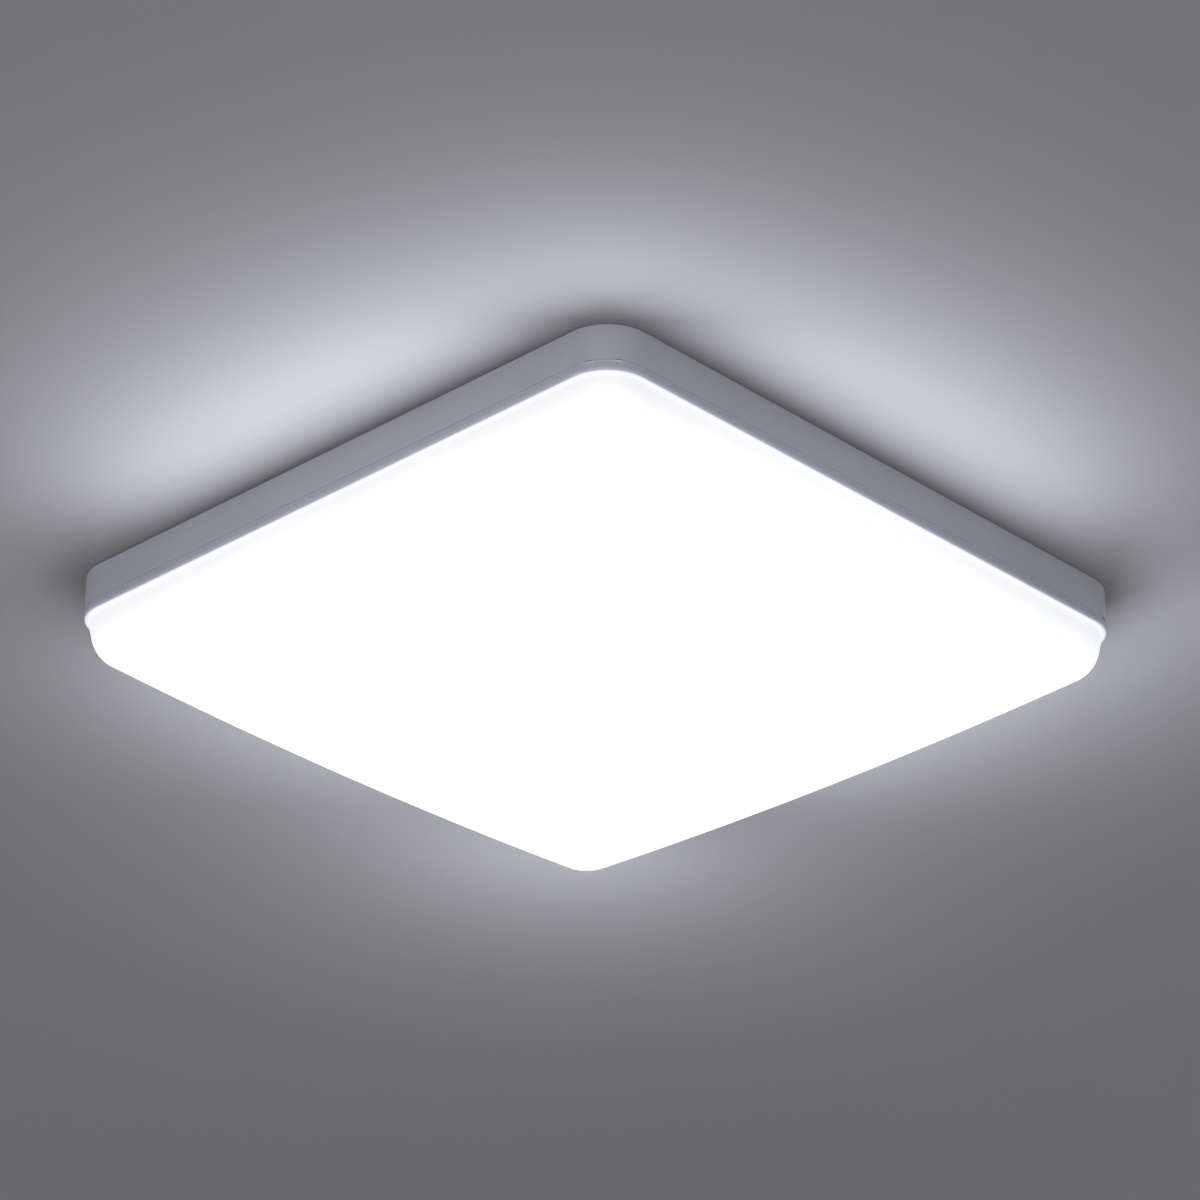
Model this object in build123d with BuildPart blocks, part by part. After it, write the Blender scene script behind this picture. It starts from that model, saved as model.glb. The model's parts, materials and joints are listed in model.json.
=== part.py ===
from build123d import *
import math
import os

# A square flush ceiling light. The ceiling is the plane Z = 0 and the light hangs below it.
# Sizes are in millimetres, and depths are measured down from the ceiling.

# Housing, a moulded tray whose open side faces down
body_side = 300.0
body_corner_radius = 18.5
housing_depth = 19.6
housing_wall = 2.0
back_panel = 2.0
ceiling_edge_round = 1.0
rim_edge_round = 0.5
parting_groove_depth = 0.2
parting_groove_height = 0.5
parting_groove_above_rim = 3.95

# Raised land and ribs on the back of the housing, which meet the ceiling
back_land_height = 1.0
back_land_width = 10.0
back_rib_width = 2.0
back_rib_pitch = 70.0
back_ribs_each_way = 3

# Channel in the back of the housing for the ceiling bracket
channel_length = 186.0
channel_width = 30.0
channel_depth = 5.2
channel_wall = 2.0
channel_floor = 2.0
channel_corner_radius = 5.0

# Ceiling bracket, a pressed steel strap with slots for the ceiling screws
bracket_end_gap = 3.0
bracket_side_gap = 2.0
bracket_thickness = 1.2
bracket_corner_radius = 4.0
bracket_slot_spacing = 100.0
bracket_slot_length = 14.0
bracket_slot_width = 5.0
bracket_cable_hole = 20.0
bracket_collar_diameter = 7.0
bracket_collar_height = 3.5
bracket_screw_inset = 10.0
bracket_screw_diameter = 4.0
bracket_screw_stop = 0.4

# Diffuser, a moulded opal cover whose skirt plugs up inside the housing wall
cover_clearance = 0.3
diffuser_wall = 1.8
overall_depth = 44.8
dome_radius = 2790.0
diffuser_edge_radius = 14.0
diffuser_low_corner_radius = 28.0
corner_blend_drop = 3.0
skirt_engagement = 10.0
skirt_stop_reach = 5.0
skirt_stop_length = 6.0
skirt_stop_spread = 140.0

# Snaps at each corner: arc distance from the middle of the corner, and length
snap_slits = ((-7.3, 3.4), (3.65, 2.5))
snap_slit_height = 1.1
snap_skin = 0.6
snap_pocket_height = 3.4
snap_pocket_margin = 0.8
snap_nub_height = 0.15
snap_nub_clearance = 0.2

# Reflector tray, painted sheet steel that carries the light boards
tray_depth = 16.0
tray_thickness = 0.8
tray_edge_gap = 7.9
tray_corner_radius = 10.0
tray_lip_height = 4.0
tray_boss_diameter = 7.0
tray_boss_inset = 42.0
tray_middle_boss_inset = 28.0
tray_access_hole = 11.0
tray_screw_diameter = 3.0
tray_screw_length = 9.0

# Light boards, in rows either side of a middle gap for the terminal block
rows_each_side = 3
middle_gap = 60.0
outer_row_inset = 24.0
board_width = 12.0
board_thickness = 1.0
board_end_inset = 13.0
board_corner_radius = 1.0
leds_per_board = 10
led_end_room = 17.0
led_length = 3.5
led_width = 2.8
led_height = 0.8
led_cup_margin = 0.5
led_cup_depth = 0.2
lens_radius = 6.0
lens_height = 5.0
lens_cavity_radius = 2.7
lens_cavity_height = 2.2
rivet_diameter = 3.0
rivet_head_diameter = 5.6
rivet_head_height = 1.4
rivet_tip_diameter = 3.9
rivet_tip_height = 1.4
connector_length = 9.0
connector_width = 7.0
connector_height = 4.0
connector_edge_round = 0.6
connector_inset = 5.5
jumper_diameter = 1.5
jumper_spacing = 4.0
jumper_sag = 3.0
jumper_straight = 3.0
jumper_slope = 8.0

# Driver, a slim power supply behind the tray
driver_length = 100.0
driver_width = 38.0
driver_height = 12.2
driver_wall = 1.5
driver_lid_thickness = 1.2
driver_lid_lip = 1.6
driver_centre_y = 66.0
driver_ear_length = 11.0
driver_ear_width = 12.0
driver_ear_thickness = 2.0
driver_boss_height = 6.0
driver_post_height = 1.2
driver_post_diameter = 3.0
driver_board_thickness = 1.0
driver_lead_spread = 26.0
driver_lead_depth = 9.2
transformer_size = (17.0, 14.0, 6.6)
transformer_core_width = 6.0
capacitor_diameter = 6.4
capacitor_lengths = (14.0, 11.0)
choke_diameter = 9.0
choke_height = 6.0
choke_waist = 1.2
chip_size = (7.0, 5.0, 1.7)

# Terminal block with a push button over each pole
pole_pitch = 8.0
pole_names = ("earth", "neutral", "live")
terminal_centre_x = 27.0
terminal_length = 22.0
terminal_height = 14.0
terminal_wall = 2.0
terminal_floor = 2.0
terminal_ear_length = 7.0
terminal_ear_thickness = 3.0
terminal_edge_round = 0.8
terminal_window_gap = 0.8
terminal_wire_depth = 12.2
mains_hole_diameter = 4.4
terminal_window_near_x = -14.0
button_length = 4.4
button_width = 3.4
button_stand = 2.0
button_flange = 0.9
button_flange_height = 1.5
contact_thickness = 1.0
contact_drop = 1.0
spring_thickness = 0.4
spring_width = 3.6
spring_reach = 6.0

# Cable entry, earth point and bushing
grommet_bore = 8.0
grommet_hole = 14.0
grommet_flange = 19.0
grommet_flange_height = 1.5
earth_x = 66.0
earth_y = -12.0
earth_screw_diameter = 4.0
earth_screw_length = 5.0
earth_nut_across = 7.0
earth_nut_height = 2.4
lug_diameter = 8.4
lug_thickness = 0.8
lug_barrel_diameter = 3.8
lug_barrel_length = 5.0
lug_reach = 12.0
bushing_from_boss = 16.0
bushing_bore = 6.4
bushing_hole = 9.0
bushing_flange = 12.5
bushing_flange_height = 1.2

# Leads and small fits
mains_lead_diameter = 2.2
output_lead_diameter = 1.8
output_lead_spacing = 2.8
lead_hole_clearance = 0.15
lead_inside = 3.0
lead_run_in = 7.0
thread_clearance = 0.05
screw_hole_clearance = 0.25
seat_clearance = 0.2
line_contact_gap = 0.1
pan_head_diameter = 5.6
pan_head_height = 2.2
large_head_diameter = 7.6
large_head_height = 2.6
head_edge_share = 0.4
drive_slot_width = 0.9
drive_slot_depth = 1.0

# Levels and half sizes worked out from the sizes above
panel_inside = -(back_land_height + back_panel)
channel_inside = -(channel_depth + channel_floor)
inner_side = body_side - 2 * housing_wall
inner_corner_radius = body_corner_radius - housing_wall
diffuser_inset = housing_wall + cover_clearance
skirt_top = -(housing_depth - skirt_engagement)
parting_level = -(housing_depth - parting_groove_above_rim)
bracket_length = channel_length - 2 * bracket_end_gap
bracket_width = channel_width - 2 * bracket_side_gap
bracket_screw_x = bracket_length / 2 - bracket_screw_inset
tray_side = body_side - 2 * (diffuser_inset + diffuser_wall + tray_edge_gap)
tray_top = -tray_depth
tray_under = tray_top - tray_thickness
board_under = tray_under - board_thickness
board_length = tray_side - 2 * board_end_inset
led_pitch = (board_length - 2 * led_end_room) / (leds_per_board - 1)
led_xs = [(i - (leds_per_board - 1) / 2) * led_pitch for i in range(leds_per_board)]
row_pitch = (tray_side / 2 - outer_row_inset - middle_gap / 2) / (rows_each_side - 1)
upper_rows = [middle_gap / 2 + i * row_pitch for i in reversed(range(rows_each_side))]
row_ys = upper_rows + [-y for y in reversed(upper_rows)]
rivet_xs = (led_xs[1] + led_pitch / 2, led_xs[-2] - led_pitch / 2)
connector_x = board_length / 2 - connector_inset
wire_level = board_under - connector_height / 2
tray_boss_x = tray_side / 2 - tray_boss_inset
tray_boss_y = (row_ys[0] + row_ys[1]) / 2
middle_boss_x = tray_side / 2 - tray_middle_boss_inset
tray_screw_points = [(x, y) for x in (-tray_boss_x, tray_boss_x) for y in (-tray_boss_y, tray_boss_y)]
tray_screw_points += [(-middle_boss_x, 0), (middle_boss_x, 0)]
bracket_screw_points = [(-bracket_screw_x, 0), (bracket_screw_x, 0)]
driver_screw_x = driver_length / 2 + driver_ear_length / 2
driver_screw_points = [(-driver_screw_x, driver_centre_y), (driver_screw_x, driver_centre_y)]
driver_ear_top = panel_inside - driver_boss_height
pole_ys = [(i - (len(pole_names) - 1) / 2) * pole_pitch for i in range(len(pole_names))]
terminal_width = pole_pitch * len(pole_names) + 2 * terminal_wall
terminal_screw_y = terminal_width / 2 + terminal_ear_length / 2
terminal_screw_points = [(terminal_centre_x, -terminal_screw_y), (terminal_centre_x, terminal_screw_y)]
terminal_under = channel_inside - terminal_height
terminal_end_x = terminal_centre_x + terminal_length / 2
pole_room_length = terminal_length - 2 * terminal_wall
pole_room_width = pole_pitch - terminal_wall
lead_radius = mains_lead_diameter / 2
bushing_x = -(tray_boss_x + bushing_from_boss)
bushing_y = tray_boss_y

hang = (Align.CENTER, Align.CENTER, Align.MAX)
stand = (Align.CENTER, Align.CENTER, Align.MIN)

os.makedirs("parts", exist_ok=True)


def keep(piece, name):
    """Label a finished piece and write it as its own file."""
    piece.part.label = name
    export_step(piece.part, f"parts/{name}.step")


def corner_plane(quarter, arc_offset, radius, level):
    """Plane facing out of a rounded corner, arc_offset along the outer wall from the corner's middle."""
    middle = math.radians(90 * quarter + 45)
    angle = middle + arc_offset / body_corner_radius
    centre = (body_side / 2 - body_corner_radius) * math.sqrt(2)
    out = Vector(math.cos(angle), math.sin(angle), 0)
    origin = Vector(centre * math.cos(middle), centre * math.sin(middle), level) + out * radius
    return Plane(origin=origin, x_dir=(-out.Y, out.X, 0), z_dir=out)


def bend_radii(points):
    """Largest radius at each corner of a route that leaves a straight piece in every run."""
    radii = []
    for before, corner, after in zip(points, points[1:], points[2:]):
        run_in = Vector(*corner) - Vector(*before)
        run_out = Vector(*after) - Vector(*corner)
        half_turn = math.radians(run_in.get_angle(run_out)) / 2
        radii.append(0.45 * min(run_in.length, run_out.length) / math.tan(half_turn))
    return radii


def wire_along(points, diameter):
    """Round wire along straight runs joined by tangent arcs."""
    with BuildPart() as wire:
        with BuildLine() as route:
            FilletPolyline(*points, radius=bend_radii(points))
        with BuildSketch(Plane(origin=route.line @ 0, z_dir=route.line % 0)):
            Circle(diameter / 2)
        sweep()
    return wire.part


def pan_screw(diameter, length, head_diameter, head_height):
    """Cross-drive screw with its head below the origin and its shank above it."""
    with BuildPart() as screw:
        Cylinder(head_diameter / 2, head_height, align=hang)
        fillet(screw.edges().group_by(Axis.Z)[0], head_height * head_edge_share)
        Cylinder(diameter / 2, length, align=stand)
        with Locations((0, 0, -head_height)):
            Box(head_diameter / 2, drive_slot_width, drive_slot_depth, align=stand, mode=Mode.SUBTRACT)
            Box(drive_slot_width, head_diameter / 2, drive_slot_depth, align=stand, mode=Mode.SUBTRACT)
    return screw.part


def at_level(points, level):
    """Plan points raised or lowered to one level."""
    return [(x, y, level) for x, y in points]


# Housing: outer tray, back ribs, bracket channel, screw bosses and snap slits
with BuildPart() as base_housing:
    with BuildSketch(Plane.XY.offset(-housing_depth)):
        RectangleRounded(body_side, body_side, body_corner_radius)
    extrude(amount=housing_depth)
    fillet(base_housing.edges().group_by(Axis.Z)[-1], ceiling_edge_round)
    fillet(base_housing.edges().group_by(Axis.Z)[0], rim_edge_round)
    with BuildSketch(Plane.XY.offset(-housing_depth)):
        RectangleRounded(inner_side, inner_side, inner_corner_radius)
    extrude(amount=housing_depth + panel_inside, mode=Mode.SUBTRACT)

    with BuildSketch(Plane.XY):
        pocket_side = body_side - 2 * back_land_width
        RectangleRounded(pocket_side, pocket_side, body_corner_radius - back_land_width)
        with GridLocations(back_rib_pitch, back_rib_pitch, back_ribs_each_way, 1):
            Rectangle(back_rib_width, body_side, mode=Mode.SUBTRACT)
        with GridLocations(back_rib_pitch, back_rib_pitch, 1, back_ribs_each_way):
            Rectangle(body_side, back_rib_width, mode=Mode.SUBTRACT)
        Rectangle(channel_length + 2 * channel_wall, channel_width + 2 * channel_wall, mode=Mode.SUBTRACT)
    extrude(amount=-back_land_height, mode=Mode.SUBTRACT)

    with BuildSketch(Plane.XY.offset(panel_inside)):
        RectangleRounded(
            channel_length + 2 * channel_wall,
            channel_width + 2 * channel_wall,
            channel_corner_radius + channel_wall,
        )
    extrude(amount=channel_inside - panel_inside)
    with Locations(*at_level(terminal_screw_points, panel_inside)):
        Cylinder(tray_boss_diameter / 2, panel_inside - channel_inside, align=hang)
    with BuildSketch(Plane.XY):
        RectangleRounded(channel_length, channel_width, channel_corner_radius)
    extrude(amount=-channel_depth, mode=Mode.SUBTRACT)

    with Locations(*at_level(tray_screw_points, panel_inside)):
        Cylinder(tray_boss_diameter / 2, panel_inside - tray_top, align=hang)
    with Locations(*at_level(driver_screw_points, panel_inside)):
        Cylinder(tray_boss_diameter / 2, driver_boss_height, align=hang)
    pilot_radius = tray_screw_diameter / 2 + thread_clearance
    with Locations(*at_level(tray_screw_points, tray_top)):
        Cylinder(pilot_radius, tray_screw_length, align=stand, mode=Mode.SUBTRACT)
    with Locations(*at_level(driver_screw_points, driver_ear_top)):
        Cylinder(pilot_radius, driver_boss_height, align=stand, mode=Mode.SUBTRACT)
    with Locations(*at_level(terminal_screw_points, channel_inside)):
        Cylinder(pilot_radius, panel_inside - channel_inside, align=stand, mode=Mode.SUBTRACT)

    with Locations(*at_level(bracket_screw_points, 0)):
        Hole(bracket_screw_diameter / 2 + screw_hole_clearance)
    Hole(grommet_hole / 2)

    with PolarLocations(inner_side / 2 - skirt_stop_reach / 2, 4):
        with Locations((0, -skirt_stop_spread / 2, panel_inside), (0, skirt_stop_spread / 2, panel_inside)):
            stop_height = panel_inside - skirt_top - cover_clearance
            Box(skirt_stop_reach, skirt_stop_length, stop_height, align=hang)

    with BuildSketch(Plane.XY.offset(parting_level - parting_groove_height / 2)):
        RectangleRounded(body_side + housing_wall, body_side + housing_wall, body_corner_radius)
        groove_side = body_side - 2 * parting_groove_depth
        groove_radius = body_corner_radius - parting_groove_depth
        RectangleRounded(groove_side, groove_side, groove_radius, mode=Mode.SUBTRACT)
    extrude(amount=parting_groove_height, mode=Mode.SUBTRACT)

    for quarter in range(4):
        for arc_offset, slit_length in snap_slits:
            outer_face = corner_plane(quarter, arc_offset, body_corner_radius, parting_level)
            with BuildSketch(outer_face):
                Rectangle(slit_length, snap_slit_height)
            extrude(amount=-2 * housing_wall, mode=Mode.SUBTRACT)
            with BuildSketch(outer_face.offset(-snap_skin)):
                Rectangle(slit_length + 2 * snap_pocket_margin, snap_pocket_height)
            extrude(amount=-2 * housing_wall, mode=Mode.SUBTRACT)
keep(base_housing, "base_housing")

# Ceiling bracket: slots for the ceiling screws, a cable hole and threaded collars
with BuildPart() as ceiling_bracket:
    with BuildSketch(Plane.XY):
        RectangleRounded(bracket_length, bracket_width, bracket_corner_radius)
        Circle(bracket_cable_hole / 2, mode=Mode.SUBTRACT)
        with Locations((-bracket_slot_spacing / 2, 0), (bracket_slot_spacing / 2, 0)):
            SlotOverall(bracket_slot_length, bracket_slot_width, mode=Mode.SUBTRACT)
    extrude(amount=-bracket_thickness)
    with Locations(*at_level(bracket_screw_points, -bracket_thickness)):
        Cylinder(bracket_collar_diameter / 2, bracket_collar_height, align=hang)
    with Locations(*at_level(bracket_screw_points, 0)):
        Hole(bracket_screw_diameter / 2 + thread_clearance)
keep(ceiling_bracket, "ceiling_bracket")

with BuildPart() as bracket_screws:
    with Locations(*at_level(bracket_screw_points, channel_inside)):
        add(pan_screw(
            bracket_screw_diameter,
            -channel_inside - bracket_screw_stop,
            large_head_diameter,
            large_head_height,
        ))
keep(bracket_screws, "bracket_screws")


def collar(bore, neck, flange, flange_height, grip, place):
    """Grommet or bushing: two flanges on a neck that grips a sheet whose upper face is at place."""
    with BuildPart() as ring:
        with BuildSketch(Plane(origin=place, x_dir=(1, 0, 0), z_dir=(0, -1, 0))) as profile:
            with Locations((0, flange_height)):
                Rectangle(flange / 2, 2 * flange_height + grip, align=(Align.MIN, Align.MAX))
            fillet(profile.vertices().group_by(Axis.X)[-1], flange_height / 2)
            with Locations((neck / 2, 0)):
                Rectangle(flange, grip, align=(Align.MIN, Align.MAX), mode=Mode.SUBTRACT)
            with Locations((0, flange_height)):
                Rectangle(bore / 2, 2 * flange_height + grip, align=(Align.MIN, Align.MAX), mode=Mode.SUBTRACT)
        revolve(axis=Axis(place, (0, 0, 1)))
    return ring.part


# Rubber grommet where the supply cable passes through the channel floor
with BuildPart() as cable_grommet:
    neck = grommet_hole - 2 * thread_clearance
    place = (0, 0, -channel_depth)
    add(collar(grommet_bore, neck, grommet_flange, grommet_flange_height, channel_floor, place))
keep(cable_grommet, "cable_grommet")

# Reflector tray: flat sheet with a turned-up lip, a window over the terminals and screw holes
with BuildPart() as reflector_tray:
    with BuildSketch(Plane.XY.offset(tray_under)):
        RectangleRounded(tray_side, tray_side, tray_corner_radius)
    extrude(amount=tray_thickness + tray_lip_height)
    with BuildSketch(Plane.XY.offset(tray_top)):
        lip_inside = tray_side - 2 * tray_thickness
        RectangleRounded(lip_inside, lip_inside, tray_corner_radius - tray_thickness)
    extrude(amount=tray_lip_height, mode=Mode.SUBTRACT)
    with BuildSketch(Plane.XY.offset(tray_under)):
        window_far_x = terminal_end_x + terminal_ear_length
        window_width = 2 * (terminal_screw_y + terminal_ear_length / 2 + terminal_window_gap)
        with Locations(((window_far_x + terminal_window_near_x) / 2, 0)):
            RectangleRounded(window_far_x - terminal_window_near_x, window_width, terminal_ear_length / 2)
    extrude(amount=tray_thickness, mode=Mode.SUBTRACT)
    with Locations(*tray_screw_points):
        Hole(tray_screw_diameter / 2 + screw_hole_clearance)
    with Locations(*bracket_screw_points):
        Hole(tray_access_hole / 2)
    with Locations(*[(x, y) for x in rivet_xs for y in row_ys]):
        Hole(rivet_diameter / 2 + thread_clearance)
    with Locations((earth_x, earth_y)):
        Hole(earth_screw_diameter / 2 + screw_hole_clearance)
    with Locations((bushing_x, bushing_y)):
        Hole(bushing_hole / 2)
keep(reflector_tray, "reflector_tray")

with BuildPart() as tray_screws:
    with Locations(*at_level(tray_screw_points, tray_under)):
        add(pan_screw(tray_screw_diameter, tray_screw_length, pan_head_diameter, pan_head_height))
keep(tray_screws, "tray_screws")

# One moulded lens over each light, hollow above the light itself
with BuildPart() as led_lens:
    with BuildSketch(Plane.XZ):
        Ellipse(lens_radius, lens_height)
        Ellipse(lens_cavity_radius, lens_cavity_height, mode=Mode.SUBTRACT)
        Rectangle(lens_radius, lens_height, align=(Align.MIN, Align.MAX), mode=Mode.INTERSECT)
    revolve(axis=Axis.Z)

# Light boards, each with its row of lights and lenses
for number, row_y in enumerate(row_ys, start=1):
    led_points = [(x, row_y, board_under) for x in led_xs]
    with BuildPart() as led_board:
        with BuildSketch(Plane.XY.offset(tray_under)):
            with Locations((0, row_y)):
                RectangleRounded(board_length, board_width, board_corner_radius)
            with Locations(*[(x, row_y) for x in rivet_xs]):
                Circle(rivet_diameter / 2 + thread_clearance, mode=Mode.SUBTRACT)
        extrude(amount=-board_thickness)
    keep(led_board, f"led_board_{number}")

    with BuildPart() as led_chips:
        with Locations(*led_points):
            Box(led_length, led_width, led_height, align=hang)
        with Locations(*[(x, y, z - led_height) for x, y, z in led_points]):
            cup_length = led_length - 2 * led_cup_margin
            cup_width = led_width - 2 * led_cup_margin
            Box(cup_length, cup_width, led_cup_depth, align=stand, mode=Mode.SUBTRACT)
    keep(led_chips, f"led_chips_{number}")

    with BuildPart() as led_lenses:
        with Locations(*led_points):
            add(led_lens.part)
    keep(led_lenses, f"led_lenses_{number}")

# Push rivets that hold the boards to the tray
with BuildPart() as board_rivet:
    Cylinder(rivet_head_diameter / 2, rivet_head_height, align=hang)
    fillet(board_rivet.edges().group_by(Axis.Z)[0], rivet_head_height * head_edge_share)
    grip = board_thickness + tray_thickness
    Cylinder(rivet_diameter / 2, grip, align=stand)
    with Locations((0, 0, grip)):
        Cone(rivet_tip_diameter / 2, rivet_diameter / 2, rivet_tip_height, align=stand)

with BuildPart() as board_rivets:
    with Locations(*[(x, y, board_under) for x in rivet_xs for y in row_ys]):
        add(board_rivet.part)
keep(board_rivets, "board_rivets")

# Wire connectors: the driver feeds the first row, and jumpers zigzag from row to row
right_end = connector_x
left_end = -connector_x
jumper_ends = [(right_end if i % 2 == 0 else left_end, row_ys[i], row_ys[i + 1]) for i in range(len(row_ys) - 1)]
connector_points = [(left_end, row_ys[0], board_under)]
for end_x, upper_y, lower_y in jumper_ends:
    connector_points += [(end_x, upper_y, board_under), (end_x, lower_y, board_under)]

with BuildPart() as board_connector:
    Box(connector_length, connector_width, connector_height, align=hang)
    fillet(board_connector.edges().filter_by(Axis.Z), connector_edge_round)
    with Locations((-jumper_spacing / 2, 0, -connector_height), (jumper_spacing / 2, 0, -connector_height)):
        Box(jumper_diameter, connector_width / 2, connector_height / 4, align=stand, mode=Mode.SUBTRACT)

with BuildPart() as board_connectors:
    with Locations(*connector_points):
        add(board_connector.part)
keep(board_connectors, "board_connectors")


def jumper(x, upper_y, lower_y):
    """Jumper wire between two connectors, sagging a little between its ends."""
    start = upper_y - connector_width / 2
    end = lower_y + connector_width / 2
    low = wire_level - jumper_sag
    points = [
        (x, start, wire_level),
        (x, start - jumper_straight, wire_level),
        (x, start - jumper_straight - jumper_slope, low),
        (x, end + jumper_straight + jumper_slope, low),
        (x, end + jumper_straight, wire_level),
        (x, end, wire_level),
    ]
    return wire_along(points, jumper_diameter)


for pole, side in (("positive", 1), ("negative", -1)):
    with BuildPart() as jumper_wires:
        for end_x, upper_y, lower_y in jumper_ends:
            add(jumper(end_x + side * jumper_spacing / 2, upper_y, lower_y))
    keep(jumper_wires, f"jumper_wires_{pole}")

# Driver case: open towards the tray, with an ear at each end and posts for its board
driver_lead_ys = (driver_centre_y - driver_lead_spread / 2, driver_centre_y + driver_lead_spread / 2)
driver_lid_top = panel_inside - driver_height + driver_lid_thickness
driver_case_height = panel_inside - driver_lid_top
driver_floor = panel_inside - driver_wall
driver_room_length = driver_length - 2 * driver_wall
driver_room_width = driver_width - 2 * driver_wall
driver_board_top = driver_floor - driver_post_height
driver_board_under = driver_board_top - driver_board_thickness

with BuildPart() as driver_case:
    with Locations((0, driver_centre_y, panel_inside)):
        Box(driver_length, driver_width, driver_case_height, align=hang)
    with Locations((0, driver_centre_y, driver_floor)):
        Box(driver_room_length, driver_room_width, driver_height, align=hang, mode=Mode.SUBTRACT)
    with Locations(*at_level(driver_screw_points, driver_ear_top)):
        Box(driver_ear_length, driver_ear_width, driver_ear_thickness, align=hang)
    with Locations(*at_level(driver_screw_points, 0)):
        Hole(tray_screw_diameter / 2 + screw_hole_clearance)
    with Locations((0, driver_centre_y, driver_floor)):
        post_x = driver_room_length - 2 * driver_post_diameter
        post_y = driver_room_width - 2 * driver_post_diameter
        with GridLocations(post_x, post_y, 2, 2):
            Cylinder(driver_post_diameter / 2, driver_post_height, align=hang)
    for lead_y in driver_lead_ys:
        with BuildSketch(Plane.YZ.offset(-driver_length)):
            with Locations((lead_y, -driver_lead_depth)):
                Circle(lead_radius + lead_hole_clearance)
        extrude(amount=2 * driver_length, mode=Mode.SUBTRACT)
keep(driver_case, "driver_case")

with BuildPart() as driver_lid:
    with Locations((0, driver_centre_y, driver_lid_top)):
        Box(driver_length, driver_width, driver_lid_thickness, align=hang)
        lip_length = driver_room_length - 2 * seat_clearance
        lip_width = driver_room_width - 2 * seat_clearance
        Box(lip_length, lip_width, driver_lid_lip, align=stand)
        Box(lip_length - 2 * driver_wall, lip_width - 2 * driver_wall, driver_lid_lip, align=stand,
            mode=Mode.SUBTRACT)
    fillet(driver_lid.edges().group_by(Axis.Z)[0], driver_lid_thickness * head_edge_share)
keep(driver_lid, "driver_lid")

with BuildPart() as driver_board:
    with Locations((0, driver_centre_y, driver_board_top)):
        board_room = 2 * seat_clearance
        Box(driver_room_length - board_room, driver_room_width - board_room, driver_board_thickness, align=hang)
keep(driver_board, "driver_board")

# Parts on the driver board, from the supply end on the right to the output end on the left
component_pitch = driver_room_length / 6
with BuildPart() as driver_transformer:
    with Locations((-component_pitch / 2, driver_centre_y, driver_board_under)):
        Box(*transformer_size, align=hang)
        core_length = transformer_size[0] + 2 * driver_wall
        Box(core_length, transformer_core_width, transformer_size[2] + line_contact_gap, align=hang)
    fillet(driver_transformer.edges().filter_by(Axis.Z), head_edge_share)
keep(driver_transformer, "driver_transformer")

with BuildPart() as driver_capacitors:
    capacitor_level = driver_board_under - capacitor_diameter / 2 - line_contact_gap
    for direction, capacitor_length in zip((1, -1), capacitor_lengths):
        capacitor_x = direction * component_pitch * 3 / 2
        with BuildSketch(Plane.XZ.offset(-driver_centre_y - capacitor_length / 2)):
            with Locations((capacitor_x, capacitor_level)):
                Circle(capacitor_diameter / 2)
        extrude(amount=capacitor_length)
keep(driver_capacitors, "driver_capacitors")

with BuildPart() as driver_choke:
    place = (component_pitch / 2 + choke_diameter / 2, driver_centre_y, driver_board_under)
    with BuildSketch(Plane(origin=place, x_dir=(1, 0, 0), z_dir=(0, -1, 0))):
        Rectangle(choke_diameter / 2, choke_height, align=(Align.MIN, Align.MAX))
        with Locations((choke_diameter / 2, -choke_waist)):
            Rectangle(2 * choke_waist, choke_height - 2 * choke_waist, align=(Align.CENTER, Align.MAX),
                      mode=Mode.SUBTRACT)
    revolve(axis=Axis(place, (0, 0, 1)))
keep(driver_choke, "driver_choke")

with BuildPart() as driver_chips:
    chip_x = component_pitch * 5 / 2
    with Locations((-chip_x, driver_centre_y, driver_board_under), (chip_x, driver_centre_y, driver_board_under)):
        Box(*chip_size, align=hang)
    chamfer(driver_chips.edges().group_by(Axis.Z)[0], chip_size[2] / 4)
keep(driver_chips, "driver_chips")

with BuildPart() as driver_screws:
    with Locations(*at_level(driver_screw_points, driver_ear_top - driver_ear_thickness)):
        add(pan_screw(tray_screw_diameter, driver_boss_height, pan_head_diameter, pan_head_height))
keep(driver_screws, "driver_screws")

# Terminal block: one room for each pole, open towards the channel floor
with BuildPart() as terminal_block:
    with Locations((terminal_centre_x, 0, channel_inside)):
        Box(terminal_length, terminal_width, terminal_height, align=hang)
    fillet(terminal_block.edges().filter_by(Axis.Z), terminal_edge_round)
    with Locations((terminal_centre_x, 0, channel_inside)):
        Box(terminal_length / 2, terminal_width + 2 * terminal_ear_length, terminal_ear_thickness, align=hang)
    with Locations(*terminal_screw_points):
        Hole(tray_screw_diameter / 2 + screw_hole_clearance)
    for pole_y in pole_ys:
        with Locations((terminal_centre_x, pole_y, channel_inside)):
            Box(pole_room_length, pole_room_width, terminal_height - terminal_floor, align=hang,
                mode=Mode.SUBTRACT)
            hole_length = button_length + 2 * cover_clearance
            hole_width = button_width + 2 * cover_clearance
            Box(hole_length, hole_width, terminal_height, align=hang, mode=Mode.SUBTRACT)
        with BuildSketch(Plane.YZ.offset(terminal_centre_x)):
            with Locations((pole_y, -terminal_wire_depth)):
                Circle(mains_hole_diameter / 2)
        extrude(amount=-terminal_length, mode=Mode.SUBTRACT)
        with BuildSketch(Plane.YZ.offset(terminal_centre_x)):
            with Locations((pole_y, -terminal_wire_depth)):
                Circle(lead_radius + lead_hole_clearance)
        extrude(amount=terminal_length, mode=Mode.SUBTRACT)
keep(terminal_block, "terminal_block")

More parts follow.
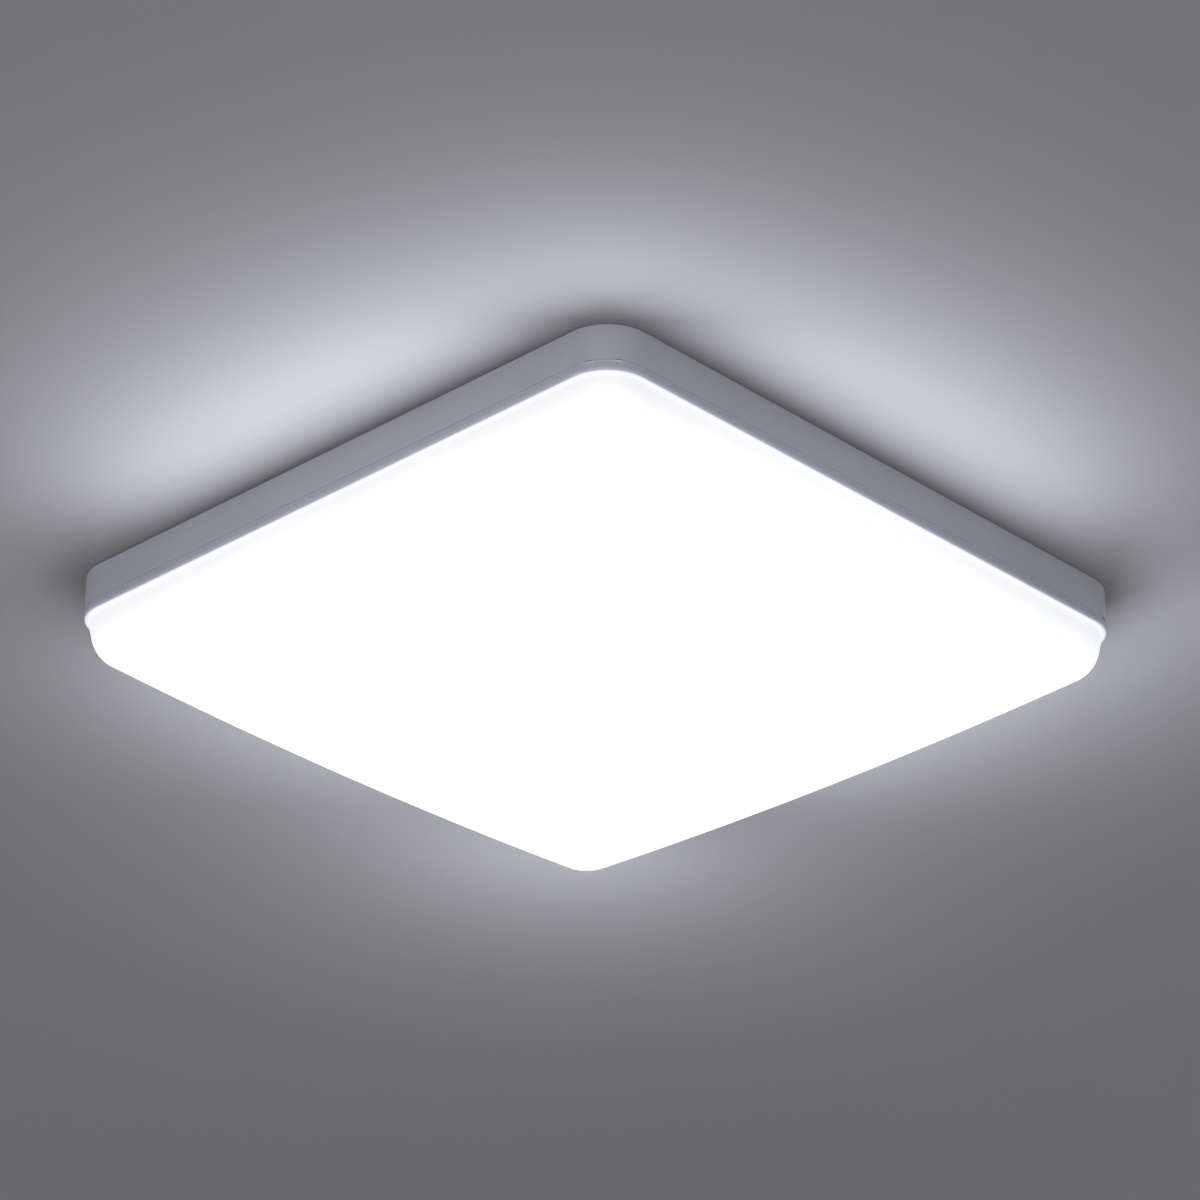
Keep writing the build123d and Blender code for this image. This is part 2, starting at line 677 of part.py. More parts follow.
with BuildPart() as terminal_contacts:
    with Locations(*[(terminal_centre_x, pole_y, channel_inside - contact_drop) for pole_y in pole_ys]):
        contact_length = pole_room_length - 2 * seat_clearance
        contact_width = pole_room_width - 2 * seat_clearance
        Box(contact_length, contact_width, contact_thickness, align=hang)
keep(terminal_contacts, "terminal_contacts")

# Each pole has a leaf spring under its contact and a flanged button that the spring pushes out
button_seat = terminal_under + terminal_floor
button_top = button_seat + button_flange_height
spring_top = channel_inside - contact_drop - contact_thickness
spring_bend = (spring_top - button_top) / 2
for pole_y, pole in zip(pole_ys, pole_names):
    with BuildPart() as terminal_spring:
        with BuildSketch(Plane.XZ.offset(-pole_y - spring_width / 2)):
            with BuildLine():
                tip_x = terminal_centre_x - spring_reach
                bend_x = terminal_centre_x + spring_reach / 2
                upper = Line((tip_x, spring_top), (bend_x, spring_top))
                bow = ThreePointArc(
                    upper @ 1,
                    (bend_x + spring_bend / 2, spring_top - spring_bend),
                    (bend_x, button_top),
                )
                lower = Line(bow @ 1, (tip_x, button_top))
                inner_end = Line(lower @ 1, (tip_x, button_top + spring_thickness))
                inner_lower = Line(inner_end @ 1, (bend_x, button_top + spring_thickness))
                inner_bow = ThreePointArc(
                    inner_lower @ 1,
                    (bend_x + spring_bend / 2 - spring_thickness, spring_top - spring_bend),
                    (bend_x, spring_top - spring_thickness),
                )
                inner_upper = Line(inner_bow @ 1, (tip_x, spring_top - spring_thickness))
                Line(inner_upper @ 1, upper @ 0)
            make_face()
        extrude(amount=spring_width)
    keep(terminal_spring, f"terminal_spring_{pole}")

    with BuildPart() as terminal_button:
        with Locations((terminal_centre_x, pole_y, button_seat)):
            Box(button_length, button_width, terminal_floor + button_stand, align=hang)
        fillet(terminal_button.edges().group_by(Axis.Z)[0], head_edge_share)
        with Locations((terminal_centre_x, pole_y, button_seat)):
            flange_length = button_length + 2 * button_flange
            flange_width = pole_room_width - 2 * cover_clearance
            Box(flange_length, flange_width, button_flange_height, align=stand)
    keep(terminal_button, f"terminal_button_{pole}")

with BuildPart() as terminal_screws:
    ear_under = channel_inside - terminal_ear_thickness
    terminal_screw_length = terminal_ear_thickness + panel_inside - channel_inside - seat_clearance
    with Locations(*at_level(terminal_screw_points, ear_under)):
        add(pan_screw(tray_screw_diameter, terminal_screw_length, pan_head_diameter, pan_head_height))
keep(terminal_screws, "terminal_screws")

# Earth point on the tray: screw from below, ring lug and nut above
lug_top = tray_top + lug_thickness
barrel_level = tray_top + lug_barrel_diameter / 2 + line_contact_gap
barrel_x = earth_x - lug_reach
with BuildPart() as earth_lug:
    with BuildSketch(Plane.XY.offset(tray_top)):
        with Locations((earth_x, earth_y)):
            Circle(lug_diameter / 2)
            Rectangle(lug_reach - lug_barrel_length, lug_barrel_diameter, align=(Align.MAX, Align.CENTER))
            Circle(earth_screw_diameter / 2 + thread_clearance, mode=Mode.SUBTRACT)
    extrude(amount=lug_thickness)
    with BuildSketch(Plane.YZ.offset(barrel_x)):
        with Locations((earth_y, barrel_level)):
            Circle(lug_barrel_diameter / 2)
            Circle(lead_radius + lead_hole_clearance, mode=Mode.SUBTRACT)
    extrude(amount=lug_barrel_length)
keep(earth_lug, "earth_lug")

with BuildPart() as earth_screw:
    with Locations((earth_x, earth_y, tray_under)):
        add(pan_screw(earth_screw_diameter, earth_screw_length, large_head_diameter, large_head_height))
keep(earth_screw, "earth_screw")

with BuildPart() as earth_nut:
    with BuildSketch(Plane.XY.offset(lug_top)):
        with Locations((earth_x, earth_y)):
            RegularPolygon(earth_nut_across / 2, 6, major_radius=False)
            Circle(earth_screw_diameter / 2 + thread_clearance, mode=Mode.SUBTRACT)
    extrude(amount=earth_nut_height)
keep(earth_nut, "earth_nut")

# Bushing where the output leads pass down through the tray
with BuildPart() as tray_bushing:
    neck = bushing_hole - 2 * thread_clearance
    place = (bushing_x, bushing_y, tray_top)
    add(collar(bushing_bore, neck, bushing_flange, bushing_flange_height, tray_thickness, place))
keep(tray_bushing, "tray_bushing")

# Leads, each along a hand-laid route between its two ends
terminal_lead_x = terminal_end_x - lead_inside
driver_end_x = driver_length / 2
driver_lead_x = driver_end_x - lead_inside
first_connector_y = row_ys[0] - connector_width / 2
live_route = [
    (terminal_lead_x, pole_ys[2], -terminal_wire_depth),
    (terminal_end_x + 6, pole_ys[2], -terminal_wire_depth),
    (driver_end_x + 2, 18, -12),
    (driver_end_x + 8, 34, -11),
    (driver_end_x + 11, 46, -9.6),
    (driver_end_x + 6, driver_lead_ys[0], -driver_lead_depth),
    (driver_lead_x, driver_lead_ys[0], -driver_lead_depth),
]
neutral_route = [
    (terminal_lead_x, pole_ys[1], -terminal_wire_depth),
    (terminal_end_x + 8, pole_ys[1], -terminal_wire_depth),
    (driver_end_x + 7, 12, -12.2),
    (driver_end_x + 15, 32, -11.5),
    (driver_end_x + 19, 54, -10),
    (driver_end_x + 17, 72, -9.2),
    (driver_end_x + 8, driver_lead_ys[1], -driver_lead_depth),
    (driver_lead_x, driver_lead_ys[1], -driver_lead_depth),
]
earth_route = [
    (terminal_lead_x, pole_ys[0], -terminal_wire_depth),
    (terminal_end_x + 5, pole_ys[0], -terminal_wire_depth),
    (terminal_end_x + 10, earth_y + 1.5, -13),
    (barrel_x - lead_inside, earth_y, barrel_level),
    (barrel_x + lug_barrel_length - lead_hole_clearance, earth_y, barrel_level),
]


def output_route(side, lead_y):
    """Output lead from the driver, down through the bushing and across to the first connector."""
    lead_in_bushing_y = bushing_y + side * output_lead_spacing / 2
    wire_x = left_end + side * jumper_spacing / 2
    return [
        (-driver_lead_x, lead_y, -driver_lead_depth),
        (-driver_end_x - 14, lead_y, -driver_lead_depth),
        (bushing_x + 24, bushing_y - 12 + 3 * side, -driver_lead_depth - 0.4),
        (bushing_x + 8, bushing_y - 7 + 3 * side, -driver_lead_depth),
        (bushing_x, lead_in_bushing_y, -driver_lead_depth - 1),
        (bushing_x, lead_in_bushing_y, wire_level - 0.5),
        (wire_x, first_connector_y - lead_run_in, wire_level),
        (wire_x, first_connector_y, wire_level),
    ]


leads = (
    ("live_lead", live_route, mains_lead_diameter),
    ("neutral_lead", neutral_route, mains_lead_diameter),
    ("earth_lead", earth_route, mains_lead_diameter),
    ("output_lead_positive", output_route(1, driver_lead_ys[1]), output_lead_diameter),
    ("output_lead_negative", output_route(-1, driver_lead_ys[0]), output_lead_diameter),
)
for lead_name, route_points, lead_diameter in leads:
    with BuildPart() as lead:
        add(wire_along(route_points, lead_diameter))
    print(lead_name, "tightest bend radius", round(min(bend_radii(route_points)), 1))
    keep(lead, lead_name)


def diffuser_body(inset, top):
    """Rounded square plug with a domed lower face, inset from the diffuser's outer surface."""
    side = body_side - 2 * (diffuser_inset + inset)
    upper_radius = body_corner_radius - diffuser_inset - inset
    blend_level = -(housing_depth + corner_blend_drop)
    dome_centre = dome_radius - overall_depth
    with BuildPart() as body:
        with BuildSketch(Plane.XY.offset(blend_level)):
            RectangleRounded(side, side, upper_radius)
        with BuildSketch(Plane.XY.offset(-overall_depth)):
            RectangleRounded(side, side, diffuser_low_corner_radius - inset)
        loft()
        with Locations((0, 0, dome_centre)):
            Sphere(dome_radius - inset, rotation=(90, 0, 0), mode=Mode.INTERSECT)
        fillet(body.faces().sort_by(Axis.Z)[0].edges(), diffuser_edge_radius - inset)
        with BuildSketch(Plane.XY.offset(blend_level)):
            RectangleRounded(side, side, upper_radius)
        extrude(amount=top - blend_level)
    return body.part


# Diffuser: opal cover with a snap nub behind each slit in the housing
with BuildPart() as diffuser:
    add(diffuser_body(0, skirt_top))
    add(diffuser_body(diffuser_wall, skirt_top + diffuser_wall), mode=Mode.SUBTRACT)
    for quarter in range(4):
        for arc_offset, slit_length in snap_slits:
            skirt_radius = body_corner_radius - diffuser_inset
            nub_face = corner_plane(quarter, arc_offset, skirt_radius + snap_nub_height, parting_level)
            with BuildSketch(nub_face):
                Rectangle(slit_length - 2 * snap_nub_clearance, snap_slit_height - 2 * snap_nub_clearance)
            extrude(amount=-(snap_nub_height + diffuser_wall / 2))
keep(diffuser, "diffuser")
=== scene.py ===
# %% [markdown]
# # A square flush LED ceiling light
# The light is a grey moulded tray screwed flat against a ceiling, closed from below by a glowing opal
# cover. Every solid piece already exists in the frame at its real size, in metres, with the ceiling at
# Z = 0. This lesson loads that frame, gives each piece its finish, rebuilds the opal cover and the
# terminals' leaf springs as smooth surfaces, and sets up the camera, the stage and the light. Loading
# comes first, because each later cell reads sizes from it.

# %% Load the frame
import bpy
import json
import math
import numpy as np
from mathutils import Matrix, Vector

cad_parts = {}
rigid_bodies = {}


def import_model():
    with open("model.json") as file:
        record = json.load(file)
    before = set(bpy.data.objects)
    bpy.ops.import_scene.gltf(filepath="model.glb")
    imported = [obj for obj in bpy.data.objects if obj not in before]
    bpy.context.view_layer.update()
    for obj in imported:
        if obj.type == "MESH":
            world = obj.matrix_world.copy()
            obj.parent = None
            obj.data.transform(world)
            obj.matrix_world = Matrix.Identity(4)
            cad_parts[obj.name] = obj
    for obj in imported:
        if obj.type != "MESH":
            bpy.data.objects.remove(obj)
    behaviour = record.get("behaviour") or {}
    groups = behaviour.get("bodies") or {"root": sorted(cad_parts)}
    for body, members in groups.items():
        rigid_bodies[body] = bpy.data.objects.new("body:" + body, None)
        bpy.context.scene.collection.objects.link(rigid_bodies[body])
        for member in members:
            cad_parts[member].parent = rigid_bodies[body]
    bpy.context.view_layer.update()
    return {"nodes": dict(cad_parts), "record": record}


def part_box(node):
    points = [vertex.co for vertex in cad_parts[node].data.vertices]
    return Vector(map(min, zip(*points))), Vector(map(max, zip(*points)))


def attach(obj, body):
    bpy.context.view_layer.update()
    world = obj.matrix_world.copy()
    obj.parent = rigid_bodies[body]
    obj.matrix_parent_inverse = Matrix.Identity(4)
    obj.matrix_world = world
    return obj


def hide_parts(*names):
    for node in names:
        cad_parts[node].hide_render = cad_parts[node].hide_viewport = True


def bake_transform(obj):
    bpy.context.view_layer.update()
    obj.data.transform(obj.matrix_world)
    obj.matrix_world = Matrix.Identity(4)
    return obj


for starter in list(bpy.data.objects):
    bpy.data.objects.remove(starter)
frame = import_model()
nodes = frame["nodes"]
scene = bpy.context.scene

# %% [markdown]
# ## Camera
# The picture looks up at the light from below one corner. A long lens from two metres away keeps the
# edges nearly parallel. The camera could be aimed with a Track To constraint, but writing its three axes
# as a matrix keeps the small roll exact and leaves nothing live in the scene.

# %% Camera
PICTURE_PIXELS = 1200
CAMERA_AZIMUTH = math.radians(43.8486)
CAMERA_ELEVATION = math.radians(-27.988)
CAMERA_ROLL = math.radians(0.29)
CAMERA_DISTANCE = 1.9634
CAMERA_CLIP_END = 200.0
FOCAL_PIXELS = 4887.2
AIM_PIXEL_X = 596.4
AIM_PIXEL_Y = 585.8
SENSOR_MM = 36.0
UPRIGHT = Vector((0.0, 0.0, 1.0))


def make_camera():
    """Camera on a sphere round the ceiling point above the light, rolled a little, with that point a few
    pixels off the picture's centre."""
    flat = math.cos(CAMERA_ELEVATION)
    back = Vector((
        math.sin(CAMERA_AZIMUTH) * flat,
        -math.cos(CAMERA_AZIMUTH) * flat,
        math.sin(CAMERA_ELEVATION),
    ))
    level_right = UPRIGHT.cross(back).normalized()
    level_up = back.cross(level_right)
    right = math.cos(CAMERA_ROLL) * level_right + math.sin(CAMERA_ROLL) * level_up
    up = math.cos(CAMERA_ROLL) * level_up - math.sin(CAMERA_ROLL) * level_right
    data = bpy.data.cameras.new("photo_camera")
    data.sensor_width = SENSOR_MM
    data.lens = SENSOR_MM * FOCAL_PIXELS / PICTURE_PIXELS
    data.shift_x = (PICTURE_PIXELS / 2 - AIM_PIXEL_X) / PICTURE_PIXELS
    data.shift_y = (AIM_PIXEL_Y - PICTURE_PIXELS / 2) / PICTURE_PIXELS
    data.clip_end = CAMERA_CLIP_END
    camera = bpy.data.objects.new("photo_camera", data)
    turn = Matrix((right, up, back)).transposed().to_4x4()
    camera.matrix_world = Matrix.Translation(back * CAMERA_DISTANCE) @ turn
    scene.collection.objects.link(camera)
    scene.camera = camera
    return camera


camera = make_camera()
print("camera lens mm:", round(camera.data.lens, 1))

# %% [markdown]
# ## Finishes: a small tool kit
# A finish is a tree of shader nodes. Each one below starts from the same Principled shader, so a short
# helper makes the shader, and a few more add a noise, a colour ramp or a bump. Constant values go straight
# onto the inputs. All patterns read Object coordinates, because every piece sits at the origin and a
# pattern in metres then keeps its real size.

# %% Finish helpers


def feed(node, key, value):
    """Links an output to the input with that name or number, or sets the input to a plain value."""
    socket = node.inputs[key]
    if isinstance(value, bpy.types.NodeSocket):
        node.id_data.links.new(value, socket)
    else:
        socket.default_value = (*value, 1.0) if socket.type == "RGBA" else value


def start_finish(name, colour, roughness, metallic=0.0):
    """New material with one Principled shader: gives it, its tree, the shader and object coordinates."""
    material = bpy.data.materials.new(name)
    material.use_nodes = True
    tree = material.node_tree
    shader = tree.nodes["Principled BSDF"]
    feed(shader, "Base Color", colour)
    feed(shader, "Roughness", roughness)
    feed(shader, "Metallic", metallic)
    place = tree.nodes.new("ShaderNodeTexCoord").outputs["Object"]
    return material, tree, shader, place


def noise_of(tree, place, scale, detail=3.0):
    """Noise of the given scale per metre, as a value from 0 to 1."""
    noise = tree.nodes.new("ShaderNodeTexNoise")
    feed(noise, "Scale", scale)
    feed(noise, "Detail", detail)
    feed(noise, "Vector", place)
    return noise.outputs["Fac"]


def ramp_of(tree, value, *colours, at=(0.35, 0.65)):
    """Colour ramp through two or more colours, at as many places along the value."""
    ramp = tree.nodes.new("ShaderNodeValToRGB")
    stops = ramp.color_ramp.elements
    stops.remove(stops[1])
    stops[0].position = at[0]
    stops[0].color = (*colours[0], 1.0)
    for colour, spot in zip(colours[1:], at[1:]):
        stops.new(spot).color = (*colour, 1.0)
    feed(ramp, "Fac", value)
    return ramp.outputs["Color"]


def range_of(tree, value, low, high, from_low=0.0, from_high=1.0):
    """The value's range stretched to run from low to high, and held at its ends."""
    stretch = tree.nodes.new("ShaderNodeMapRange")
    feed(stretch, "From Min", from_low)
    feed(stretch, "From Max", from_high)
    feed(stretch, "To Min", low)
    feed(stretch, "To Max", high)
    feed(stretch, "Value", value)
    return stretch.outputs["Result"]


def add_bump(tree, shader, height, distance):
    """Bump of the given height in metres on the shader's normal."""
    bump = tree.nodes.new("ShaderNodeBump")
    feed(bump, "Distance", distance)
    feed(bump, "Height", height)
    feed(shader, "Normal", bump.outputs["Normal"])


def light_up(shader, colour, strength):
    """Makes the shader glow in a colour, at a strength."""
    feed(shader, "Emission Color", colour)
    feed(shader, "Emission Strength", strength)


def scaled(colour, factor):
    """A colour made lighter or darker by one factor."""
    return tuple(min(1.0, part * factor) for part in colour)


def shades_of(tree, value, colour, factors, **places):
    """Shades of one colour along a value, from a darker factor to a lighter one."""
    return ramp_of(tree, value, *(scaled(colour, factor) for factor in factors), **places)


finishes = {}
print("finish helpers ready")

# %% [markdown]
# ## Moulded plastics
# Most of the light is injection-moulded plastic: the housing, the driver case, the terminal block, the
# connectors. Up close such a surface has a fine spark-eroded grain, faint cloudiness from the melt, and a
# sheen that varies a little. Each could have its own tree, but they differ only in colour, gloss and grain.
# So one function makes them all, and a table lists them by the name of their material slot.

# %% Moulded plastic finish
CLOUD_SCALE, CLOUD_DETAIL = 28.0, 4.0
GRAIN_SCALE, GRAIN_DETAIL = 1800.0, 2.0
GRAIN_HEIGHT = 0.00001
SHEEN_SPREAD = 0.08
RUBBER_GRAIN = 900.0
MOULDED_PLASTICS = {
    "driver_plastic": ("driver_white", (0.80, 0.80, 0.79), 0.5),
    "connector_plastic": ("connector_white", (0.78, 0.77, 0.72), 0.35),
    "terminal_plastic": ("terminal_grey", (0.62, 0.62, 0.60), 0.4),
    "button_plastic": ("button_orange", (0.80, 0.24, 0.03), 0.28),
    "rivet_nylon": ("rivet_natural", (0.80, 0.79, 0.74), 0.38),
    "bushing_nylon": ("bushing_black", (0.025, 0.025, 0.026), 0.4),
    "chip_resin": ("chip_black", (0.02, 0.02, 0.021), 0.5),
    "grommet_rubber": ("grommet_black", (0.022, 0.022, 0.022), 0.7, RUBBER_GRAIN),
    "capacitor_sleeve": ("capacitor_black", (0.03, 0.032, 0.05), 0.3),
}


def moulded(name, colour, roughness, grain=GRAIN_SCALE, height=GRAIN_HEIGHT, cloud=0.04):
    """Moulded plastic: cloudy colour, fine grain bump and uneven sheen, all from noise in metres."""
    material, tree, shader, place = start_finish(name, colour, roughness)
    clouds = noise_of(tree, place, CLOUD_SCALE, CLOUD_DETAIL)
    tint = shades_of(tree, clouds, colour, (1.0 - cloud, 1.0 + cloud))
    feed(shader, "Base Color", tint)
    fine = noise_of(tree, place, grain, GRAIN_DETAIL)
    sheen = range_of(tree, fine, roughness - SHEEN_SPREAD, roughness + SHEEN_SPREAD)
    feed(shader, "Roughness", sheen)
    add_bump(tree, shader, fine, height)
    return material


for slot, recipe in MOULDED_PLASTICS.items():
    finishes[slot] = moulded(*recipe)
print("moulded finishes:", sorted(finishes))

# %% [markdown]
# ## Tools for places and blends
# The next finishes depend on where a point lies: how far it is from an edge, a row or a light. Blender
# works that out with Math and Vector Math nodes, one for each step of a sum. They could be placed by hand,
# but with a helper that adds one node and gives back its output, a sum reads nearly as it does on paper.

# %% Place and blend helpers


def math_of(tree, kind, *values, node="ShaderNodeMath"):
    """One math step on values that are each a socket or a number: gives the output that is in use."""
    step = tree.nodes.new(node)
    step.operation = kind
    for number, value in enumerate(values):
        feed(step, number, value)
    return next(socket for socket in step.outputs if socket.enabled)


def vector_of(tree, kind, *vectors):
    """One such step on sockets or sets of three numbers: gives a vector or, for a length, a value."""
    return math_of(tree, kind, *vectors, node="ShaderNodeVectorMath")


def axes_of(tree, vector):
    """The three parts of a vector."""
    parts = tree.nodes.new("ShaderNodeSeparateXYZ")
    feed(parts, "Vector", vector)
    return parts.outputs["X"], parts.outputs["Y"], parts.outputs["Z"]


def blend_of(tree, amount, first, second):
    """Colour between first and second, each a socket or three numbers, by an amount from 0 to 1."""
    mix = tree.nodes.new("ShaderNodeMix")
    mix.data_type = "RGBA"
    feed(mix, "Factor", amount)
    colour_inputs = [number for number, socket in enumerate(mix.inputs) if socket.type == "RGBA"]
    for number, colour in zip(colour_inputs, (first, second)):
        feed(mix, number, colour)
    return next(socket for socket in mix.outputs if socket.type == "RGBA")


def inside_of(tree, value, half, soft):
    """One where the value's size is under half, falling to nought over a soft edge."""
    size = math_of(tree, "ABSOLUTE", value)
    return range_of(tree, size, 1.0, 0.0, half - soft, half + soft)


print("place and blend helpers ready")

# %% [markdown]
# ## The housing and its rim
# The housing is plain moulded grey, but its lower rim runs close round the glowing cover. The rim's
# underside is flooded with light, and a little of it, bluish, creeps up the outside of the wall. The
# cover's own glow stops at white and can't throw that much, so the light is written as emission that fades
# with the distance from the line where the cover leaves the rim. The fine parting line a few millimetres
# up is a groove in the solid. Its colour is painted a little lighter there, a painted light that offsets
# the shade in the groove, because the real line is only just visible.

# %% Housing finish
HOUSING_GREY = (0.300, 0.300, 0.348)
HOUSING_ROUGHNESS = 0.42
HOUSING_CLOUD = 0.02
housing_low, housing_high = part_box("base_housing")
rim_level = housing_low.z
housing_half = housing_high.x
COVER_GAP = 0.0023
UPPER_CORNER = 0.0162
SPILL_REACH = 0.0033
SPILL_COLOURS = (
    (0.80, 0.81, 0.84),
    (0.56, 0.60, 0.69),
    (0.09, 0.12, 0.19),
    (0.015, 0.02, 0.035),
    (0.0, 0.0, 0.0),
)
SPILL_STOPS = (0.10, 0.46, 0.67, 0.80, 1.0)
BEYOND_LEVELS = 1.0
LINE_ABOVE_RIM = 0.00395
LINE_HALF_HEIGHT = 0.0003
LINE_SOFT = 0.00005
LINE_LIGHTER = 1.22


def rim_distance(tree, place):
    """Distance from the line where the cover's wall passes the rim. In plan that line is a rounded square,
    so the distance outwards is the length past the corner centres less the corner radius. The level is
    taken below nought by a metre, so that it drops out of that length."""
    centre = housing_half - COVER_GAP - UPPER_CORNER
    size = vector_of(tree, "ABSOLUTE", place)
    past = vector_of(tree, "SUBTRACT", size, (centre, centre, BEYOND_LEVELS))
    length = vector_of(tree, "LENGTH", vector_of(tree, "MAXIMUM", past, (0.0, 0.0, 0.0)))
    _, _, level = axes_of(tree, place)
    pair = tree.nodes.new("ShaderNodeCombineXYZ")
    feed(pair, "X", math_of(tree, "SUBTRACT", length, UPPER_CORNER))
    feed(pair, "Y", math_of(tree, "SUBTRACT", level, rim_level))
    return vector_of(tree, "LENGTH", pair.outputs["Vector"])


def housing_finish(name, colour):
    """Moulded grey, painted lighter in the parting line to offset the groove's shade, with the cover's
    light on the rim as emission.
    """
    material = moulded(name, colour, HOUSING_ROUGHNESS, cloud=HOUSING_CLOUD)
    tree = material.node_tree
    shader = tree.nodes["Principled BSDF"]
    place = tree.nodes.new("ShaderNodeTexCoord").outputs["Object"]
    _, _, level = axes_of(tree, place)
    # Painted light: the parting line's band is tinted lighter to offset the shade in its groove.
    from_line = math_of(tree, "SUBTRACT", level, rim_level + LINE_ABOVE_RIM)
    line = inside_of(tree, from_line, LINE_HALF_HEIGHT, LINE_SOFT)
    tint = shader.inputs["Base Color"].links[0].from_socket
    lined = blend_of(tree, line, tint, scaled(colour, LINE_LIGHTER))
    feed(shader, "Base Color", lined)
    share = range_of(tree, rim_distance(tree, place), 0.0, 1.0, 0.0, SPILL_REACH)
    spill = ramp_of(tree, share, *SPILL_COLOURS, at=SPILL_STOPS)
    light_up(shader, spill, 1.0)
    return material


finishes["housing_plastic"] = housing_finish("housing_grey", HOUSING_GREY)
print("housing rim at mm:", round(rim_level * 1000, 2))

# %% [markdown]
# ## Metals
# The ceiling strap is galvanised, so its zinc has grown flat crystals, each reflecting a little
# differently. A picture of zinc could be laid on it, but a texture of random cells needs no file and has no
# seams: each cell is one crystal. Screws are bright zinc with fine turning marks, the springs and contacts
# are drawn strip with a grain along one axis.

# %% Metal finishes
ZINC_ROUGHNESS = 0.4
CRYSTAL_SCALE = 190.0
CRYSTAL_SHADES = (0.88, 1.08)
CRYSTAL_GLOSS = (0.36, 0.48)
FROST_SCALE, FROST_HEIGHT = 900.0, 0.00002
DRAWN_SCALE, DRAWN_DETAIL, DRAWN_HEIGHT = 600.0, 2.0, 0.00001
DRAWN_SHADES = (0.86, 1.08)
DRAWN_SPREAD = 0.1
TURNED = (1.0, 1.0, 6.0)
ALONG_X = (0.2, 2.0, 2.0)
DRAWN_METALS = {
    "zinc_screw": ("screw_zinc", (0.62, 0.62, 0.60), 0.3, TURNED),
    "tinned_copper": ("lug_tin", (0.64, 0.62, 0.57), 0.3, ALONG_X),
    "terminal_brass": ("contact_brass", (0.70, 0.50, 0.20), 0.28, ALONG_X),
    "spring_steel": ("spring_steel", (0.55, 0.55, 0.55), 0.26, ALONG_X),
}


def spangled_zinc(name, colour):
    """Hot-dip zinc: a random cell per crystal sets its shade and its gloss, with fine frost over it."""
    material, tree, shader, place = start_finish(name, colour, ZINC_ROUGHNESS, metallic=1.0)
    cells = tree.nodes.new("ShaderNodeTexVoronoi")
    feed(cells, "Scale", CRYSTAL_SCALE)
    feed(cells, "Vector", place)
    shade, gloss, _ = axes_of(tree, cells.outputs["Color"])
    tint = shades_of(tree, shade, colour, CRYSTAL_SHADES, at=(0.0, 1.0))
    feed(shader, "Base Color", tint)
    feed(shader, "Roughness", range_of(tree, gloss, *CRYSTAL_GLOSS))
    add_bump(tree, shader, noise_of(tree, place, FROST_SCALE), FROST_HEIGHT)
    return material


def drawn_metal(name, colour, roughness, stretch):
    """Drawn or turned metal: noise pulled out along one axis gives fine lines in the gloss and the tint."""
    material, tree, shader, place = start_finish(name, colour, roughness, metallic=1.0)
    pull = tree.nodes.new("ShaderNodeMapping")
    feed(pull, "Scale", stretch)
    feed(pull, "Vector", place)
    lines = noise_of(tree, pull.outputs["Vector"], DRAWN_SCALE, DRAWN_DETAIL)
    feed(shader, "Base Color", shades_of(tree, lines, colour, DRAWN_SHADES))
    gloss = range_of(tree, lines, roughness - DRAWN_SPREAD, roughness + DRAWN_SPREAD)
    feed(shader, "Roughness", gloss)
    add_bump(tree, shader, lines, DRAWN_HEIGHT)
    return material


finishes["galvanised_steel"] = spangled_zinc("strap_zinc", (0.56, 0.57, 0.58))
for slot, recipe in DRAWN_METALS.items():
    finishes[slot] = drawn_metal(*recipe)
print("finishes so far:", len(finishes))

# %% [markdown]
# ## Painted tray and ferrite
# The reflector tray is sheet steel with a white powder coat, which dries to a faint orange peel: a soft
# bump a millimetre or two across. The transformer's ferrite is a dark pressed ceramic with a coarse dull
# grain, which the moulded finish gives with a larger grain and more cloudiness.

# %% Powder coat and ferrite
FAINT_SHADES = (0.97, 1.02)
COAT_ROUGHNESS = 0.38
COAT_GLOSS = (0.30, 0.46)
COAT_CLOUD_SCALE = 12.0
PEEL_SCALE, PEEL_DETAIL, PEEL_HEIGHT = 420.0, 1.0, 0.00006


def powder_coat(name, colour):
    """White powder coat: orange-peel bump about two millimetres across and a slightly uneven sheen."""
    material, tree, shader, place = start_finish(name, colour, COAT_ROUGHNESS)
    peel = noise_of(tree, place, PEEL_SCALE, PEEL_DETAIL)
    tint = shades_of(tree, noise_of(tree, place, COAT_CLOUD_SCALE), colour, FAINT_SHADES)
    feed(shader, "Base Color", tint)
    feed(shader, "Roughness", range_of(tree, peel, *COAT_GLOSS))
    add_bump(tree, shader, peel, PEEL_HEIGHT)
    return material


finishes["tray_enamel"] = powder_coat("tray_powder_coat", (0.80, 0.81, 0.82))
finishes["transformer_ferrite"] = moulded(
    "ferrite_grey", (0.035, 0.035, 0.038), 0.62, grain=700.0, height=0.00004, cloud=0.2
)
print("finishes so far:", len(finishes))

# %% [markdown]
# ## Light boards
# Each board is white solder mask over copper. The copper shows as slightly raised, faintly darker strips
# that join one light to the next, with a bare gap at each light. The strips could be pieces of their own,
# but they stand up by less than a tenth of a millimetre, so a bump shows them just as well. The pattern
# repeats along X at the pitch of the lights and is the same on every row, so it is drawn from the distance
# to the nearest row, which the frame gives.

